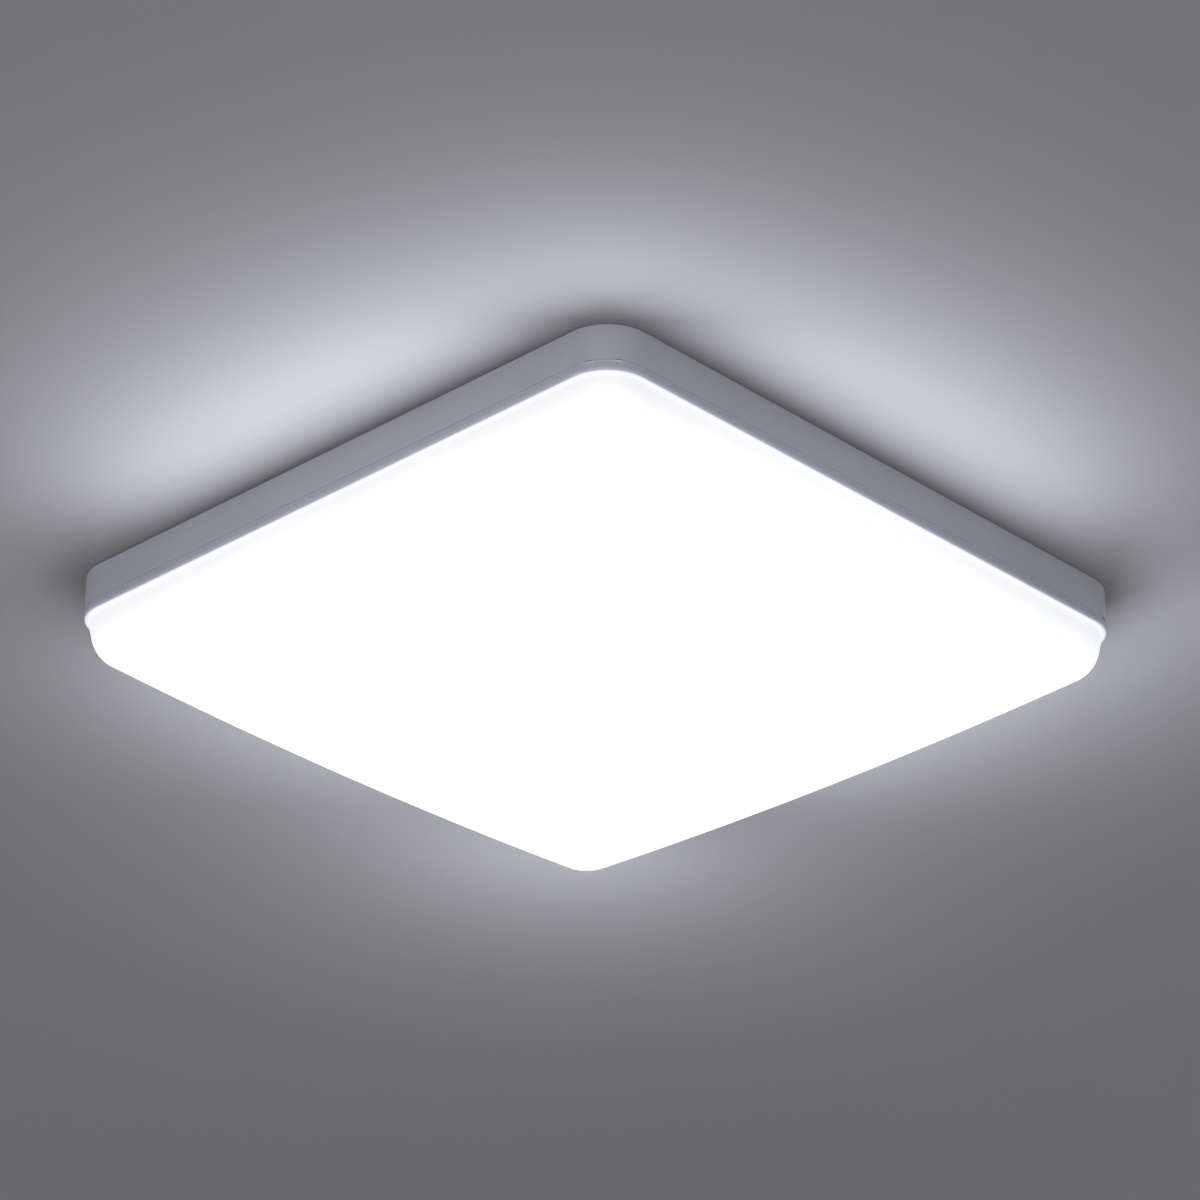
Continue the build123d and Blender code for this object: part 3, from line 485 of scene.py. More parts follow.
# %% Board finish
ROWS = 6
LIGHTS_PER_ROW = 10
LIGHT_SHARE_OF_PITCH = 3.5 / 24.0
WHOLE_STEPS = 100
BOARD_ROUGHNESS = 0.36
BOARD_GLOSS = (0.28, 0.44)
COPPER_TINT = (0.80, 0.78, 0.73)
COPPER_SHARE_OF_WIDTH = 0.72
COPPER_GAP_HALF = 0.0009
COPPER_SOFT = 0.00015
COPPER_HEIGHT = 0.00006
SPECK_SCALE = 260.0
row_boxes = [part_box(f"led_board_{number}") for number in range(1, ROWS + 1)]
row_ys = sorted((low.y + high.y) / 2 for low, high in row_boxes)
row_pitch = row_ys[-1] - row_ys[-2]
first_row = row_ys[ROWS // 2]
board_low, board_high = row_boxes[0]
board_half_width = (board_high.y - board_low.y) / 2
chip_low, chip_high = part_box("led_chips_1")
led_pitch = (chip_high.x - chip_low.x) / (LIGHTS_PER_ROW - 1 + LIGHT_SHARE_OF_PITCH)
print("rows at mm:", [round(y * 1000, 1) for y in row_ys])
print("light pitch mm:", round(led_pitch * 1000, 2))


def from_nearest(tree, value, pitch):
    """Distance from the nearest odd half pitch: the remainder after whole pitches, less half of one. Whole
    pitches added first keep the remainder above nought."""
    raised = math_of(tree, "ADD", value, pitch * WHOLE_STEPS)
    return math_of(tree, "SUBTRACT", math_of(tree, "MODULO", raised, pitch), pitch / 2)


def board_place(tree, place):
    """Distance along X from the nearest light, and across Y from the nearest row's middle line."""
    x, y, _ = axes_of(tree, place)
    along = from_nearest(tree, x, led_pitch)
    out = math_of(tree, "SUBTRACT", math_of(tree, "ABSOLUTE", y), first_row - row_pitch / 2)
    return along, from_nearest(tree, out, row_pitch)


def board_mask(name, colour):
    """White solder mask: raised copper strips between the lights, and a faint warm tint over the copper."""
    material, tree, shader, place = start_finish(name, colour, BOARD_ROUGHNESS)
    along, across = board_place(tree, place)
    strip = inside_of(tree, across, board_half_width * COPPER_SHARE_OF_WIDTH, COPPER_SOFT)
    gap_at_light = inside_of(tree, along, COPPER_GAP_HALF, COPPER_SOFT)
    copper = math_of(tree, "MULTIPLY", strip, math_of(tree, "SUBTRACT", 1.0, gap_at_light))
    speck = noise_of(tree, place, SPECK_SCALE)
    bare = shades_of(tree, speck, colour, FAINT_SHADES)
    over_copper = shades_of(tree, speck, COPPER_TINT, FAINT_SHADES)
    feed(shader, "Base Color", blend_of(tree, copper, bare, over_copper))
    feed(shader, "Roughness", range_of(tree, speck, *BOARD_GLOSS))
    add_bump(tree, shader, copper, COPPER_HEIGHT)
    return material


finishes["board_mask"] = board_mask("board_white_mask", (0.84, 0.85, 0.84))

# %% [markdown]
# ## Lights and lenses
# Each light is a small white package with a yellow phosphor well that glows when it is on. Over it sits a
# clear acrylic lens that spreads the light sideways. The well is picked out by its distance from the
# light's centre, so one finish serves all sixty. The glow is a colour on the emission socket, with one
# constant strength, so that it also survives in other programs. The lens has a faint painted glow, which
# stands in for the packages' light inside it, because the packages alone don't fill it with light.

# %% Light package and lens finishes
PACKAGE_WHITE = (0.82, 0.82, 0.78)
PACKAGE_ROUGHNESS = 0.4
PACKAGE_GLOW = (0.10, 0.10, 0.10)
WELL_GLOW = (0.95, 0.97, 1.0)
WELL_HALF_LENGTH = 0.0012
WELL_HALF_WIDTH = 0.00085
WELL_SOFT = 0.0001
PHOSPHOR_COLOURS = ((0.80, 0.52, 0.08), (0.90, 0.66, 0.16))
PHOSPHOR_SCALE = 5000.0
CHIP_GLOW = 3.0
ACRYLIC_CLEAR = (0.97, 0.98, 0.99)
ACRYLIC_TINTS = ((0.95, 0.97, 0.98), (0.99, 0.99, 1.0))
ACRYLIC_ROUGHNESS = 0.05
ACRYLIC_GLOSS = (0.02, 0.10)
ACRYLIC_IOR = 1.49
FLOW_SCALE = 160.0
LENS_COOL = (0.93, 0.96, 1.0)
LENS_GLOW = 0.05


def light_package(name):
    """White package with a glowing phosphor well round the light's centre."""
    material, tree, shader, place = start_finish(name, PACKAGE_WHITE, PACKAGE_ROUGHNESS)
    along, across = board_place(tree, place)
    long_way = inside_of(tree, along, WELL_HALF_LENGTH, WELL_SOFT)
    short_way = inside_of(tree, across, WELL_HALF_WIDTH, WELL_SOFT)
    well = math_of(tree, "MULTIPLY", long_way, short_way)
    phosphor = ramp_of(tree, noise_of(tree, place, PHOSPHOR_SCALE), *PHOSPHOR_COLOURS)
    feed(shader, "Base Color", blend_of(tree, well, PACKAGE_WHITE, phosphor))
    light_up(shader, blend_of(tree, well, PACKAGE_GLOW, WELL_GLOW), CHIP_GLOW)
    return material


def clear_acrylic(name):
    """Clear moulded acrylic with a faint painted glow for the packages' light inside it: full transmission,
    with a faint flow pattern in its gloss.
    """
    material, tree, shader, place = start_finish(name, ACRYLIC_CLEAR, ACRYLIC_ROUGHNESS)
    feed(shader, "Transmission Weight", 1.0)
    feed(shader, "IOR", ACRYLIC_IOR)
    # Painted light: a faint glow on the lens stands in for the packages' light inside it.
    light_up(shader, LENS_COOL, LENS_GLOW)
    flow = noise_of(tree, place, FLOW_SCALE)
    feed(shader, "Roughness", range_of(tree, flow, *ACRYLIC_GLOSS))
    feed(shader, "Base Color", ramp_of(tree, flow, *ACRYLIC_TINTS))
    return material


finishes["led_package"] = light_package("light_package")
finishes["lens_clear"] = clear_acrylic("lens_acrylic")
print("glow of a light:", CHIP_GLOW)

# %% [markdown]
# ## Wires and driver board
# Wire insulation is soft PVC, a little glossy, with faint drag marks. The earth lead is green with a yellow
# stripe. A UV map along the wire would carry the stripe best, but the solids have none, so it follows the
# sides of the wire that face up or down, read from the surface normal. The driver's board is green laminate
# with copper traces under the mask.

# %% Wire and laminate finishes
WIRE_ROUGHNESS = 0.32
WIRE_GLOSS = (0.25, 0.40)
WIRE_CLOUD = 0.08
DRAG_SCALE, DRAG_HEIGHT = 2600.0, 0.000008
STRIPE_EDGE = (0.68, 0.74)
EARTH_GREEN, EARTH_YELLOW = (0.05, 0.28, 0.06), (0.78, 0.62, 0.05)
LAMINATE_GREEN, TRACE_GREEN = (0.02, 0.16, 0.05), (0.06, 0.28, 0.08)
LAMINATE_ROUGHNESS = 0.3
TRACE_SCALE, TRACE_HEIGHT = 220.0, 0.00003
TRACE_EDGE = (0.45, 0.55)
PLAIN_WIRES = {
    "wire_brown": ("live_brown", (0.16, 0.06, 0.025)),
    "wire_blue": ("neutral_blue", (0.03, 0.11, 0.42)),
    "wire_red": ("positive_red", (0.50, 0.03, 0.025)),
    "wire_black": ("negative_black", (0.018, 0.018, 0.018)),
}


def striped_wire(name, ground, stripe):
    """PVC insulation with a stripe along the sides of the wire that face up or down."""
    material, tree, shader, place = start_finish(name, ground, WIRE_ROUGHNESS)
    normal = tree.nodes.new("ShaderNodeTexCoord").outputs["Normal"]
    _, _, up = axes_of(tree, normal)
    side = range_of(tree, math_of(tree, "ABSOLUTE", up), 0.0, 1.0, *STRIPE_EDGE)
    feed(shader, "Base Color", blend_of(tree, side, ground, stripe))
    fine = noise_of(tree, place, DRAG_SCALE)
    feed(shader, "Roughness", range_of(tree, fine, *WIRE_GLOSS))
    add_bump(tree, shader, fine, DRAG_HEIGHT)
    return material


def laminate(name, ground, trace):
    """Green board: traces from a texture of square random cells, under a glossy mask."""
    material, tree, shader, place = start_finish(name, ground, LAMINATE_ROUGHNESS)
    cells = tree.nodes.new("ShaderNodeTexVoronoi")
    cells.distance = "CHEBYCHEV"
    cells.feature = "F2"
    feed(cells, "Scale", TRACE_SCALE)
    feed(cells, "Vector", place)
    line = range_of(tree, cells.outputs["Distance"], 0.0, 1.0, *TRACE_EDGE)
    feed(shader, "Base Color", blend_of(tree, line, ground, trace))
    add_bump(tree, shader, line, TRACE_HEIGHT)
    return material


for slot, (name, colour) in PLAIN_WIRES.items():
    finishes[slot] = moulded(name, colour, WIRE_ROUGHNESS, DRAG_SCALE, DRAG_HEIGHT, WIRE_CLOUD)
finishes["wire_green_yellow"] = striped_wire("earth_green_yellow", EARTH_GREEN, EARTH_YELLOW)
finishes["circuit_board"] = laminate("driver_green", LAMINATE_GREEN, TRACE_GREEN)
print("finishes so far:", len(finishes))

# %% [markdown]
# ## Opal cover: its surface
# The cover is one moulding of opal plastic: a square skirt with rounded corners plugs up inside the
# housing, the corners grow rounder towards the bottom, a generous radius turns the wall into the face, and
# the face swells into a very shallow dome. The solid from the frame has the same form in a few large
# faces. Here it is worked out as a fine grid, with one parameter round the outline and one down the
# profile, because the glow below needs a value at every point. The same function with an inset gives the
# inner surface.

# %% Opal cover sizes and outline
cover_low, cover_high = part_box("diffuser")
COVER_WALL = 0.0018
DOME_RADIUS = 2.79
EDGE_ROUND = 0.014
LOWER_CORNER = 0.028
BLEND_DROP = 0.003
CORNER_STEPS = 24
SIDE_STEPS = 24
cover_half = housing_half - COVER_GAP
skirt_top = cover_high.z
face_level = cover_low.z
blend_level = rim_level - BLEND_DROP


def plan_directions(angles):
    """Unit vectors in plan at the given angles."""
    return np.stack([np.cos(angles), np.sin(angles)], axis=-1)


def outline_directions():
    """Each point of a rounded square is side * (half - radius) + out * radius. Round a corner, side is the
    corner's signs and out turns through a quarter circle. Along a straight run, out stays and side runs
    between corners."""
    turns = np.linspace(0.0, np.pi / 2, CORNER_STEPS + 1)
    shares = np.arange(1, SIDE_STEPS)[:, None] / SIDE_STEPS
    sides, outs = [], []
    for quarter in range(4):
        middles = np.pi / 4 + np.pi / 2 * np.array([quarter, quarter + 1])
        corner, following = np.sign(plan_directions(middles))
        arc = plan_directions(turns + quarter * np.pi / 2)
        sides += [np.tile(corner, (len(turns), 1)), corner + (following - corner) * shares]
        outs += [arc, np.tile(arc[-1], (len(shares), 1))]
    return np.concatenate(sides), np.concatenate(outs)


outline_side, outline_out = outline_directions()
print("points round the cover's outline:", len(outline_out))

# %% [markdown]
# The wall leans in a little at the corners, because the corner radius grows on the way down, and the dome
# rises a little towards the edge. So the round between them isn't quite a quarter circle: its centre lies
# one radius from the wall line and one from the dome line, which is two equations in two unknowns at each
# outline point. The dome line depends on where the round meets the dome, so a first guess of that place is
# improved a few times.

# %% Opal cover grid
WALL_STEPS = 16
ROUND_STEPS = 14
FACE_STEPS = 26
MEETING_TRIES = 6


def corner_radius(level):
    """Corner radius of the outer wall at a level: constant down to the blend level, then growing evenly."""
    share = np.clip((blend_level - level) / (blend_level - face_level), 0.0, 1.0)
    return UPPER_CORNER + (LOWER_CORNER - UPPER_CORNER) * share


def outline(half, radius):
    """Plan points of a rounded square, with a corner radius for every point."""
    return outline_side * (half - radius)[..., None] + outline_out * radius[..., None]


def dome_level(plan, inset):
    """Level of the dome over plan points: the lower side of a great sphere, inset towards its centre."""
    return face_level + DOME_RADIUS - np.sqrt((DOME_RADIUS - inset) ** 2 - (plan ** 2).sum(-1))


def cover_grid(inset):
    """Rows of points from the skirt's top edge down the wall, round the lower edge and in to the face's
    middle. Wall rows are outlines at even shares of the way down. Round rows swing from the wall's lean to
    the dome's slope about a centre one edge radius from both. Face rows shrink the last round row and lie
    on the dome."""
    half = cover_half - inset
    edge = EDGE_ROUND - inset
    reach = (outline_side * outline_out).sum(-1)
    lean = np.arctan((reach - 1.0) * (LOWER_CORNER - UPPER_CORNER) / (blend_level - face_level))
    low_outline = outline(half, np.full(len(reach), LOWER_CORNER - inset))
    low_out = (low_outline * outline_out).sum(-1)
    from_wall = edge - low_out * np.cos(lean) + face_level * np.sin(lean)
    meeting = low_outline - outline_out * edge
    for _ in range(MEETING_TRIES):
        meeting_out = (meeting * outline_out).sum(-1)
        slope = np.arcsin(meeting_out / (DOME_RADIUS - inset))
        from_dome = edge - meeting_out * np.sin(slope) + dome_level(meeting, inset) * np.cos(slope)
        crossing = from_dome * np.cos(lean) - from_wall * np.sin(slope)
        centre_level = crossing / np.cos(lean + slope)
        touch_level = centre_level - edge * np.sin(lean)
        inward = edge * (np.sin(slope) - np.cos(lean))
        meeting = outline(half, corner_radius(touch_level) - inset) + outline_out * inward[:, None]

    down = np.linspace(0.0, 1.0, WALL_STEPS + 1)[:, None]
    levels = skirt_top + (touch_level - skirt_top) * down
    wall = np.dstack([outline(half, corner_radius(levels) - inset), levels])

    share = np.linspace(0.0, 1.0, ROUND_STEPS + 1)[1:, None]
    swing = lean + (np.pi / 2 - slope - lean) * share
    inward = edge * (np.cos(swing) - np.cos(lean))
    turned = wall[-1, :, :2] + outline_out * inward[..., None]
    edge_round = np.dstack([turned, centre_level - edge * np.sin(swing)])

    shrink = np.linspace(1.0, 0.0, FACE_STEPS + 1)[1:-1, None, None]
    face_plan = edge_round[-1, :, :2] * shrink
    face = np.dstack([face_plan, dome_level(face_plan, inset)])
    middle = np.array([[0.0, 0.0, face_level + inset]])
    return np.concatenate([wall, edge_round, face]), middle


outer_rows, outer_middle = cover_grid(0.0)
inner_rows, inner_middle = cover_grid(COVER_WALL)
print("rows by points:", outer_rows.shape[:2])
print("lowest mm:", round(float(outer_middle[0, 2]) * 1000, 2))

# %% [markdown]
# Eight small nubs on the skirt, two at each corner, hold the cover in slits of the housing's wall. The lit
# skirt behind them shows through the slits as bright dashes. A nub could be a plain block, but a block
# wouldn't follow the corner, so each is a rectangle swept a short way round the corner's arc, sunk a little
# into the skirt.

# %% Holding nubs
NUB_PLACES = ((-0.0073, 0.0030), (0.00365, 0.0021))
NUB_HALF_HEIGHT = 0.00035
NUB_PROUD = 0.00015
NUB_SUNK = 0.0003
NUB_STEPS = 8


def nub_bars():
    """Points [bar, step, corner]: four corners of a section (radius and level) at even steps of an arc
    about the centre of the cover's corner. Arc places are measured on the housing's outer wall, as lengths
    over radius."""
    housing_corner = UPPER_CORNER + COVER_GAP
    places = np.array(NUB_PLACES)
    quarter, place = np.meshgrid(np.arange(4), np.arange(len(places)), indexing="ij")
    middle = (np.pi / 4 + quarter * np.pi / 2).ravel()
    offset, length = places[place.ravel()].T
    spread = np.linspace(-0.5, 0.5, NUB_STEPS + 1)
    angle = (middle + offset / housing_corner)[:, None] + length[:, None] / UPPER_CORNER * spread
    centre = np.sign(plan_directions(middle)) * (cover_half - UPPER_CORNER)
    radii = UPPER_CORNER + np.array([-NUB_SUNK, NUB_PROUD, NUB_PROUD, -NUB_SUNK])
    levels = rim_level + LINE_ABOVE_RIM + NUB_HALF_HEIGHT * np.array([-1.0, -1.0, 1.0, 1.0])
    out = plan_directions(angle)[:, :, None, :]
    plan = centre[:, None, None, :] + out * radii[:, None]
    heights = np.broadcast_to(levels[:, None], plan.shape[:3] + (1,))
    return np.concatenate([plan, heights], axis=-1)


nub_points = nub_bars()
print("nubs by steps by corners:", nub_points.shape[:3])

# %% [markdown]
# All of it becomes one mesh: quads between the rows, a fan at each middle and a ring of quads across the
# skirt's top edge, then the nubs with an end cap each side. Faces could be added one by one, but arrays of
# point numbers make a whole band of them at once.

# %% Faces between points
SHARP_ANGLE = math.radians(40)


def row_quads(first, rows, points):
    """Four-point faces between neighbouring rows of a closed grid, as indices that start at first."""
    row, point = np.meshgrid(np.arange(rows - 1), np.arange(points), indexing="ij")
    following = (point + 1) % points
    corners = [row * points + point, (row + 1) * points + point]
    corners += [(row + 1) * points + following, row * points + following]
    return first + np.stack(corners, axis=-1).reshape(-1, 4)


def end_fan(first, points, middle):
    """Three-point faces from a closed row of points to one middle point."""
    point = np.arange(points)
    return np.stack([first + point, np.full(points, middle), first + (point + 1) % points], axis=-1)


def smooth_piece(name, points, faces):
    """Mesh object from points and faces, smooth except where it turns sharply."""
    mesh = bpy.data.meshes.new(name)
    mesh.from_pydata(points.tolist(), [], [face.tolist() for group in faces for face in group])
    mesh.polygons.foreach_set("use_smooth", np.ones(len(mesh.polygons), bool))
    mesh.set_sharp_from_angle(angle=SHARP_ANGLE)
    piece = bpy.data.objects.new(name, mesh)
    scene.collection.objects.link(piece)
    return piece


def bar_faces(first, bars, steps):
    """Faces of bars of four-cornered sections: quads along each bar and a cap at each end."""
    indices = np.arange(bars), np.arange(steps - 1), np.arange(4)
    bar, step, corner = np.meshgrid(*indices, indexing="ij")
    start = first + (bar * steps + step) * 4
    following = (corner + 1) % 4
    quads = [start + corner, start + 4 + corner, start + 4 + following, start + following]
    ends = first + np.arange(bars)[:, None] * steps * 4 + np.arange(4)
    return [np.stack(quads, axis=-1).reshape(-1, 4), ends, ends[:, ::-1] + (steps - 1) * 4]


print("faces in one band of the cover:", len(row_quads(0, 2, len(outline_out))))

# %% [markdown]
# A value called glow goes with every point of the cover: full on the face, less close to the rim where the
# wall hides from the lights behind it, least in the corners, which are farthest from them, and less again
# on the skirt inside the housing. Along the front side, the rim's value is a little lower still, as the
# picture shows it: a painted shade that offsets the front soft box's stronger light on that wall. A texture
# could hold these values too, but a point value needs no UV map.

# %% Opal cover mesh
FACE_GLOW = 0.90
RIM_GLOW = 0.55
CORNER_LOSS = 0.03
# Painted shade: how much the rim glow is lowered along the front side, against the front soft box's light.
FRONT_PAINTED_SHADE = 0.075
FRONT_POWER = 4
SKIRT_GLOW = 0.32
NUB_GLOW = 0.32
INSIDE_GLOW = 0.6
SKIRT_FADE = 0.006
WALL_FADE = 0.022
CORNER_FADE = 0.027


def cover_glow(places):
    """Glow of outer points: from the rim's value it fades to the skirt's above and grows to the face's
    below. A share that is one at the corners and nought at the middles of the sides lowers the rim's and
    lengthens the growth. Another, along the front side down to nought at its left end, lowers it too, as a
    painted shade against the front soft box's light."""
    x, y, level = places.T
    corner = np.abs(x * y / cover_half ** 2) ** 2
    # Painted shade along the front side, offsetting the front soft box's stronger light on that wall.
    front = np.clip(-y / cover_half, 0.0, 1.0) ** FRONT_POWER * np.clip(1.0 + x / cover_half, 0.0, 1.0)
    at_rim = RIM_GLOW - CORNER_LOSS * corner - FRONT_PAINTED_SHADE * front
    fade = WALL_FADE + (CORNER_FADE - WALL_FADE) * corner
    below = np.clip((rim_level - level) / fade, 0.0, 1.0)
    above = np.clip((level - rim_level) / SKIRT_FADE, 0.0, 1.0)
    return at_rim + (FACE_GLOW - at_rim) * below + (SKIRT_GLOW - at_rim) * above


def make_cover():
    """Closed shell from the outer and inner grids, and the nubs, with the glow at every point."""
    rows, points = outer_rows.shape[:2]
    shell = rows * points
    outer = np.concatenate([outer_rows.reshape(-1, 3), outer_middle])
    inner = np.concatenate([inner_rows.reshape(-1, 3), inner_middle])
    nubs = nub_points.reshape(-1, 3)
    inner_first = len(outer)
    outer_faces = row_quads(0, rows, points)
    inner_faces = row_quads(inner_first, rows, points)[:, ::-1]
    outer_fan = end_fan(shell - points, points, shell)
    inner_fan = end_fan(inner_first + shell - points, points, inner_first + shell)[:, ::-1]
    ring = np.arange(points)
    following = (ring + 1) % points
    top_ring = np.stack([ring, following, inner_first + following, inner_first + ring], axis=-1)
    nub_faces = bar_faces(inner_first + len(inner), *nub_points.shape[:2])
    faces = [outer_faces, inner_faces, outer_fan, inner_fan, top_ring, *nub_faces]
    piece = smooth_piece("opal_cover", np.concatenate([outer, inner, nubs]), faces)
    inside, bright = np.full(len(inner), INSIDE_GLOW), np.full(len(nubs), NUB_GLOW)
    glow = np.concatenate([cover_glow(outer), inside, bright])
    attribute = piece.data.attributes.new("glow", "FLOAT", "POINT")
    attribute.data.foreach_set("value", glow.astype(np.float32))
    return piece


opal_cover = make_cover()
print("opal cover faces:", len(opal_cover.data.polygons))

# %% [markdown]
# ## Opal finish
# Opal plastic is milky all the way through, so with the lights on behind it the whole cover glows and hides
# them. Light scattered inside the wall would show that too, but it renders slowly and with noise, so the
# glow is written as emission: its colour comes from the point value through a ramp that is slightly cool
# where it is dim. Under the glow there is a satin white surface with a very fine grain, which shows when it
# is off.

# %% Opal finish and cover in place
OPAL_WHITE = (0.46, 0.455, 0.445)
OPAL_ROUGHNESS = 0.45
OPAL_GLOSS = (0.38, 0.52)
OPAL_LIGHT = ((0.0, 0.0, 0.0), (0.97, 0.98, 1.0), (1.0, 1.0, 1.0))
OPAL_STOPS = (0.0, 0.97, 1.0)
MILK_SCALE = 40.0
MILK_SHADES = (0.98, 1.02)
SATIN_SCALE, SATIN_DETAIL, SATIN_HEIGHT = 2400.0, 2.0, 0.000006


def opal(name):
    """Satin white plastic that glows by the point value, cooler where it is dim."""
    material, tree, shader, place = start_finish(name, OPAL_WHITE, OPAL_ROUGHNESS)
    glow = tree.nodes.new("ShaderNodeAttribute")
    glow.attribute_name = "glow"
    lit = ramp_of(tree, glow.outputs["Fac"], *OPAL_LIGHT, at=OPAL_STOPS)
    light_up(shader, lit, 1.0)
    milk = noise_of(tree, place, MILK_SCALE)
    feed(shader, "Base Color", shades_of(tree, milk, OPAL_WHITE, MILK_SHADES))
    fine = noise_of(tree, place, SATIN_SCALE, SATIN_DETAIL)
    feed(shader, "Roughness", range_of(tree, fine, *OPAL_GLOSS))
    add_bump(tree, shader, fine, SATIN_HEIGHT)
    return material


finishes["diffuser_opal"] = opal("opal_plastic")
opal_cover.data.materials.append(finishes["diffuser_opal"])
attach(opal_cover, "cover")
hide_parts("diffuser")
print("opal cover rides on the cover body")

# %% [markdown]
# ## Leaf springs of the terminals
# Behind each button of the terminal block sits a strip of spring steel bent into a U, which pushes the
# button out. Its upper leg stays with the block and its lower leg follows the button, so the U closes a
# little when the button is pressed. A rigid piece would be cut by the button. Here the strip is swept along
# its U as a fine grid.

# %% Leaf springs
LEAF_THICKNESS = 0.0004
LEG_STEPS = 4
BOW_STEPS = 24
LEAF_SECTION = np.array([[-0.5, 0.0], [0.5, 0.0], [0.5, 1.0], [-0.5, 1.0]])


def leaf_points(low, high):
    """Points [step, corner] of a strip that fills a box from low to high along a U in X and Z: a leg at the
    top, half an ellipse, and a leg below. A corner lies half the thickness from the path along its normal,
    at either side."""
    bow = (high.z - low.z) / 2
    tall, deep = bow - LEAF_THICKNESS / 2, (bow - LEAF_THICKNESS) / 2
    bend, middle = high.x - bow / 2, (low.z + high.z) / 2
    along = np.linspace(0.0, 1.0, LEG_STEPS + 1)[1:]
    half_turn = np.linspace(0.0, np.pi, BOW_STEPS + 1)
    turn = np.concatenate([0.0 * along, half_turn, np.pi + 0.0 * along])
    leg = np.concatenate([along[::-1], np.zeros(BOW_STEPS + 1), along]) * (bend - low.x)
    path = np.stack([bend - leg + deep * np.sin(turn), middle + tall * np.cos(turn)], axis=-1)
    normal = np.stack([tall * np.sin(turn), deep * np.cos(turn)], axis=-1)
    normal *= LEAF_THICKNESS / np.linalg.norm(normal, axis=-1, keepdims=True)
    across = path[:, None, :] + normal[:, None, :] * LEAF_SECTION[:, :1]
    sides = np.broadcast_to(low.y + (high.y - low.y) * LEAF_SECTION[:, 1], across.shape[:2])
    return np.stack([across[..., 0], sides, across[..., 1]], axis=-1)


for pole in ("earth", "neutral", "live"):
    leaf_low, leaf_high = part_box(f"terminal_spring_{pole}")
    sections = leaf_points(leaf_low, leaf_high)
    leaf_faces = bar_faces(0, 1, len(sections))
    leaf = smooth_piece(f"leaf_spring_{pole}", sections.reshape(-1, 3), leaf_faces)
    leaf.data.materials.append(finishes["spring_steel"])
    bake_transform(leaf)
    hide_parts(f"terminal_spring_{pole}")
    print(leaf.name, "faces:", len(leaf.data.polygons))

# %% [markdown]
# ## Dressing the pieces
# The record lists which finish each piece of the frame has. Assigning to a piece's material slot leaves its
# mesh alone, so one loop dresses all of them.

# %% Dress every node
for entry in frame["record"]["subparts"]:
    piece = nodes[entry["node"]]
    piece.data.materials.clear()
    piece.data.materials.append(finishes[entry["material_slot"]])

# %% [markdown]
# ## Stage
# The light hangs under a plain ceiling. The ceiling could be hidden for a look at the top of the light, but
# then the scene would change with the view. So it is a sheet seen from below only: its back lets the view
# through, and it casts no shadow, so that the top of the light can be lit and looked at from above.

# %% Ceiling
CEILING_GAP = 0.0003
CEILING_HALF = 6.0
CEILING_GREY = (0.32, 0.32, 0.335)
PAINT_ROUGHNESS = 0.9
PAINT_SPECULAR = 0.1
PAINT_SHADES = (0.99, 1.01)
MOTTLE_SCALE = 3.0


def flat_sheet(name, half, level, facing):
    """Square sheet at one level, facing up (1) or down (-1)."""
    corners = np.array([[-1.0, -1.0], [1.0, -1.0], [1.0, 1.0], [-1.0, 1.0]])[::facing] * half
    points = np.column_stack([corners, np.full(4, level)])
    sheet = smooth_piece(name, points, [np.arange(4)[None, :]])
    return sheet


def plaster(name, colour):
    """Matt paint with a very faint mottle."""
    material, tree, shader, place = start_finish(name, colour, PAINT_ROUGHNESS)
    feed(shader, "Specular IOR Level", PAINT_SPECULAR)
    mottle = noise_of(tree, place, MOTTLE_SCALE)
    feed(shader, "Base Color", shades_of(tree, mottle, colour, PAINT_SHADES))
    return material


def clear_from_behind(material):
    """Makes a stage paint see-through where its back is seen."""
    tree = material.node_tree
    clear = tree.nodes.new("ShaderNodeBsdfTransparent")
    choose = tree.nodes.new("ShaderNodeMixShader")
    behind = tree.nodes.new("ShaderNodeNewGeometry").outputs["Backfacing"]
    feed(choose, "Fac", behind)
    feed(choose, 1, tree.nodes["Principled BSDF"].outputs["BSDF"])
    feed(choose, 2, clear.outputs["BSDF"])
    feed(tree.nodes["Material Output"], "Surface", choose.outputs["Shader"])
    return material


ceiling = flat_sheet("ceiling", CEILING_HALF, CEILING_GAP, -1)
ceiling.data.materials.append(clear_from_behind(plaster("ceiling_paint", CEILING_GREY)))
ceiling.visible_shadow = False
print("ceiling paint:", ceiling.data.materials[0].name)

# %% [markdown]
# A plain pale floor lies well below the light. A brighter one would throw more light on the object, so
# instead it is lifted only for rays from the camera, which the Light Path node tells apart.

# %% Floor
FLOOR_LEVEL = -1.6
FLOOR_HALF = 40.0
FLOOR_PALE = (0.72, 0.72, 0.74)
FLOOR_LIFT = 0.5


def seen_by_camera(tree):
    """One for rays from the camera, mirrors and glass included, and nought for rays that only light."""
    path = tree.nodes.new("ShaderNodeLightPath").outputs
    mirrored = math_of(tree, "MAXIMUM", path["Is Glossy Ray"], path["Is Transmission Ray"])
    return math_of(tree, "MAXIMUM", path["Is Camera Ray"], mirrored)


def paler_to_camera(material):
    """Lifts a stage paint where the camera sees it, so that it lights nothing."""
    tree = material.node_tree
    shader = tree.nodes["Principled BSDF"]
    lift = range_of(tree, seen_by_camera(tree), 0.0, FLOOR_LIFT)
    light_up(shader, FLOOR_PALE, lift)
    return material


floor = flat_sheet("floor", FLOOR_HALF, FLOOR_LEVEL, 1)
floor.data.materials.append(paler_to_camera(plaster("floor_paint", FLOOR_PALE)))
print("floor at m:", FLOOR_LEVEL)

# %% [markdown]
# ## Light
# Five soft boxes stand round the light and one hangs above it for the back, at an ordinary strength, so
# that colours come out about as written. The wash of light on the ceiling comes from the cover's lower
# edge. An emission of one is too weak to throw it, so four thin strip lamps along that edge and four short
# ones at its corners, unseen by the camera, add it.

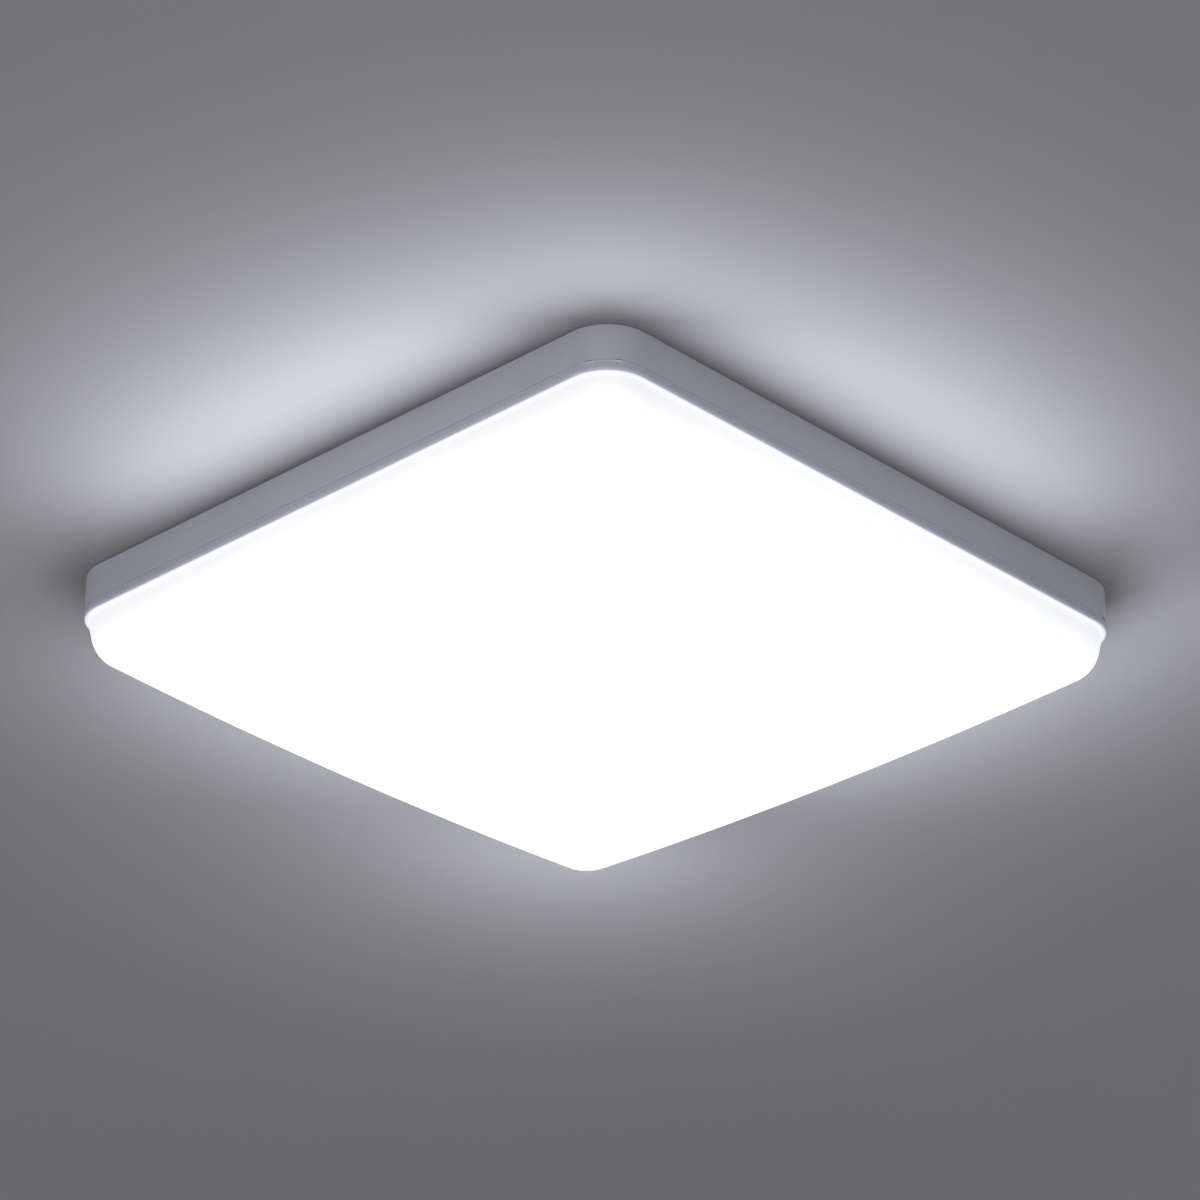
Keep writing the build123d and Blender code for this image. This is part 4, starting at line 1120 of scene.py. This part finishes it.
# %% Lamps
BOX_DISTANCE = 1.8
BOX_LEVEL = -0.25
BOX_SIZE = (1.6, 0.45)
SOFT_BOXES = {
    "front": (0.0, -1.0, 11.6),
    "right": (1.0, 0.0, 9.2),
    "back": (0.0, 1.0, 7.0),
    "left": (-1.0, 0.0, 7.0),
    "near_corner": (0.65, -0.76, 5.2),
}
TOP_LEVEL = 0.9
TOP_SIZE = (0.9, 0.9)
TOP_POWER = 12.0
STRIP_OUT = 0.151
STRIP_LEVEL = -0.052
STRIP_SIZE = (0.22, 0.01)
FAR_CORNER_LEVEL = -0.085
CORNER_OUT = 0.1455
CORNER_SIZE = (0.03, 0.01)
STRIP_COOL = (0.95, 0.965, 1.0)
EDGE_STRIPS = {
    "front": (0.0, -1.0, 0.02, 0.325),
    "right": (1.0, 0.0, -0.02, 0.29),
    "back": (0.0, 1.0, 0.02, 0.22),
    "left": (-1.0, 0.0, 0.012, 0.20),
}
CORNER_STRIPS = {
    "near": (1.0, -1.0, STRIP_LEVEL, 0.065),
    "far": (-1.0, 1.0, FAR_CORNER_LEVEL, 0.20),
    "left": (-1.0, -1.0, STRIP_LEVEL, 0.012),
    "right": (1.0, 1.0, STRIP_LEVEL, 0.035),
}


def area_lamp(name, place, aim, size, power, colour=(1.0, 1.0, 1.0)):
    """Area lamp of (length, width) at a place, shining along aim with its length level, unseen by the
    camera. Where the aim is straight down, its length lies along X."""
    data = bpy.data.lights.new(name, "AREA")
    data.shape = "RECTANGLE"
    data.size, data.size_y = size
    data.energy = power
    data.color = colour
    lamp = bpy.data.objects.new(name, data)
    back = -Vector(aim).normalized()
    length = Vector((1.0, 0.0, 0.0)) if back == UPRIGHT else UPRIGHT.cross(back).normalized()
    turn = Matrix((length, back.cross(length), back)).transposed().to_4x4()
    lamp.matrix_world = Matrix.Translation(place) @ turn
    lamp.visible_camera = False
    scene.collection.objects.link(lamp)
    return lamp


for side, (x, y, power) in SOFT_BOXES.items():
    place = Vector((x * BOX_DISTANCE, y * BOX_DISTANCE, BOX_LEVEL))
    area_lamp(f"soft_box_{side}", place, -place, BOX_SIZE, power)
for side, (x, y, shift, power) in EDGE_STRIPS.items():
    place = Vector((x * STRIP_OUT + abs(y) * shift, y * STRIP_OUT + abs(x) * shift, STRIP_LEVEL))
    area_lamp(f"edge_strip_{side}", place, (x, y, 0.0), STRIP_SIZE, power, STRIP_COOL)
for side, (x, y, level, power) in CORNER_STRIPS.items():
    place = Vector((x * CORNER_OUT, y * CORNER_OUT, level))
    area_lamp(f"corner_strip_{side}", place, (x, y, 0.0), CORNER_SIZE, power, STRIP_COOL)
area_lamp("soft_box_top", UPRIGHT * TOP_LEVEL, -UPRIGHT, TOP_SIZE, TOP_POWER)

# %% [markdown]
# The world lights the object evenly from all sides. It could be a picture of a studio, but a plain grey
# leaves no strange shapes in the metal. For rays from the camera it is paler, as the floor is.

# %% World
WORLD_GREY = (0.312, 0.312, 0.318)
WORLD_PALE = (0.54, 0.54, 0.555)
world = bpy.data.worlds.new("pale_world")
scene.world = world
world.use_nodes = True
world_tree = world.node_tree
sky = blend_of(world_tree, seen_by_camera(world_tree), WORLD_GREY, WORLD_PALE)
feed(world_tree.nodes["Background"], "Color", sky)
scene.view_settings.view_transform = "Standard"
print("world:", world.name)
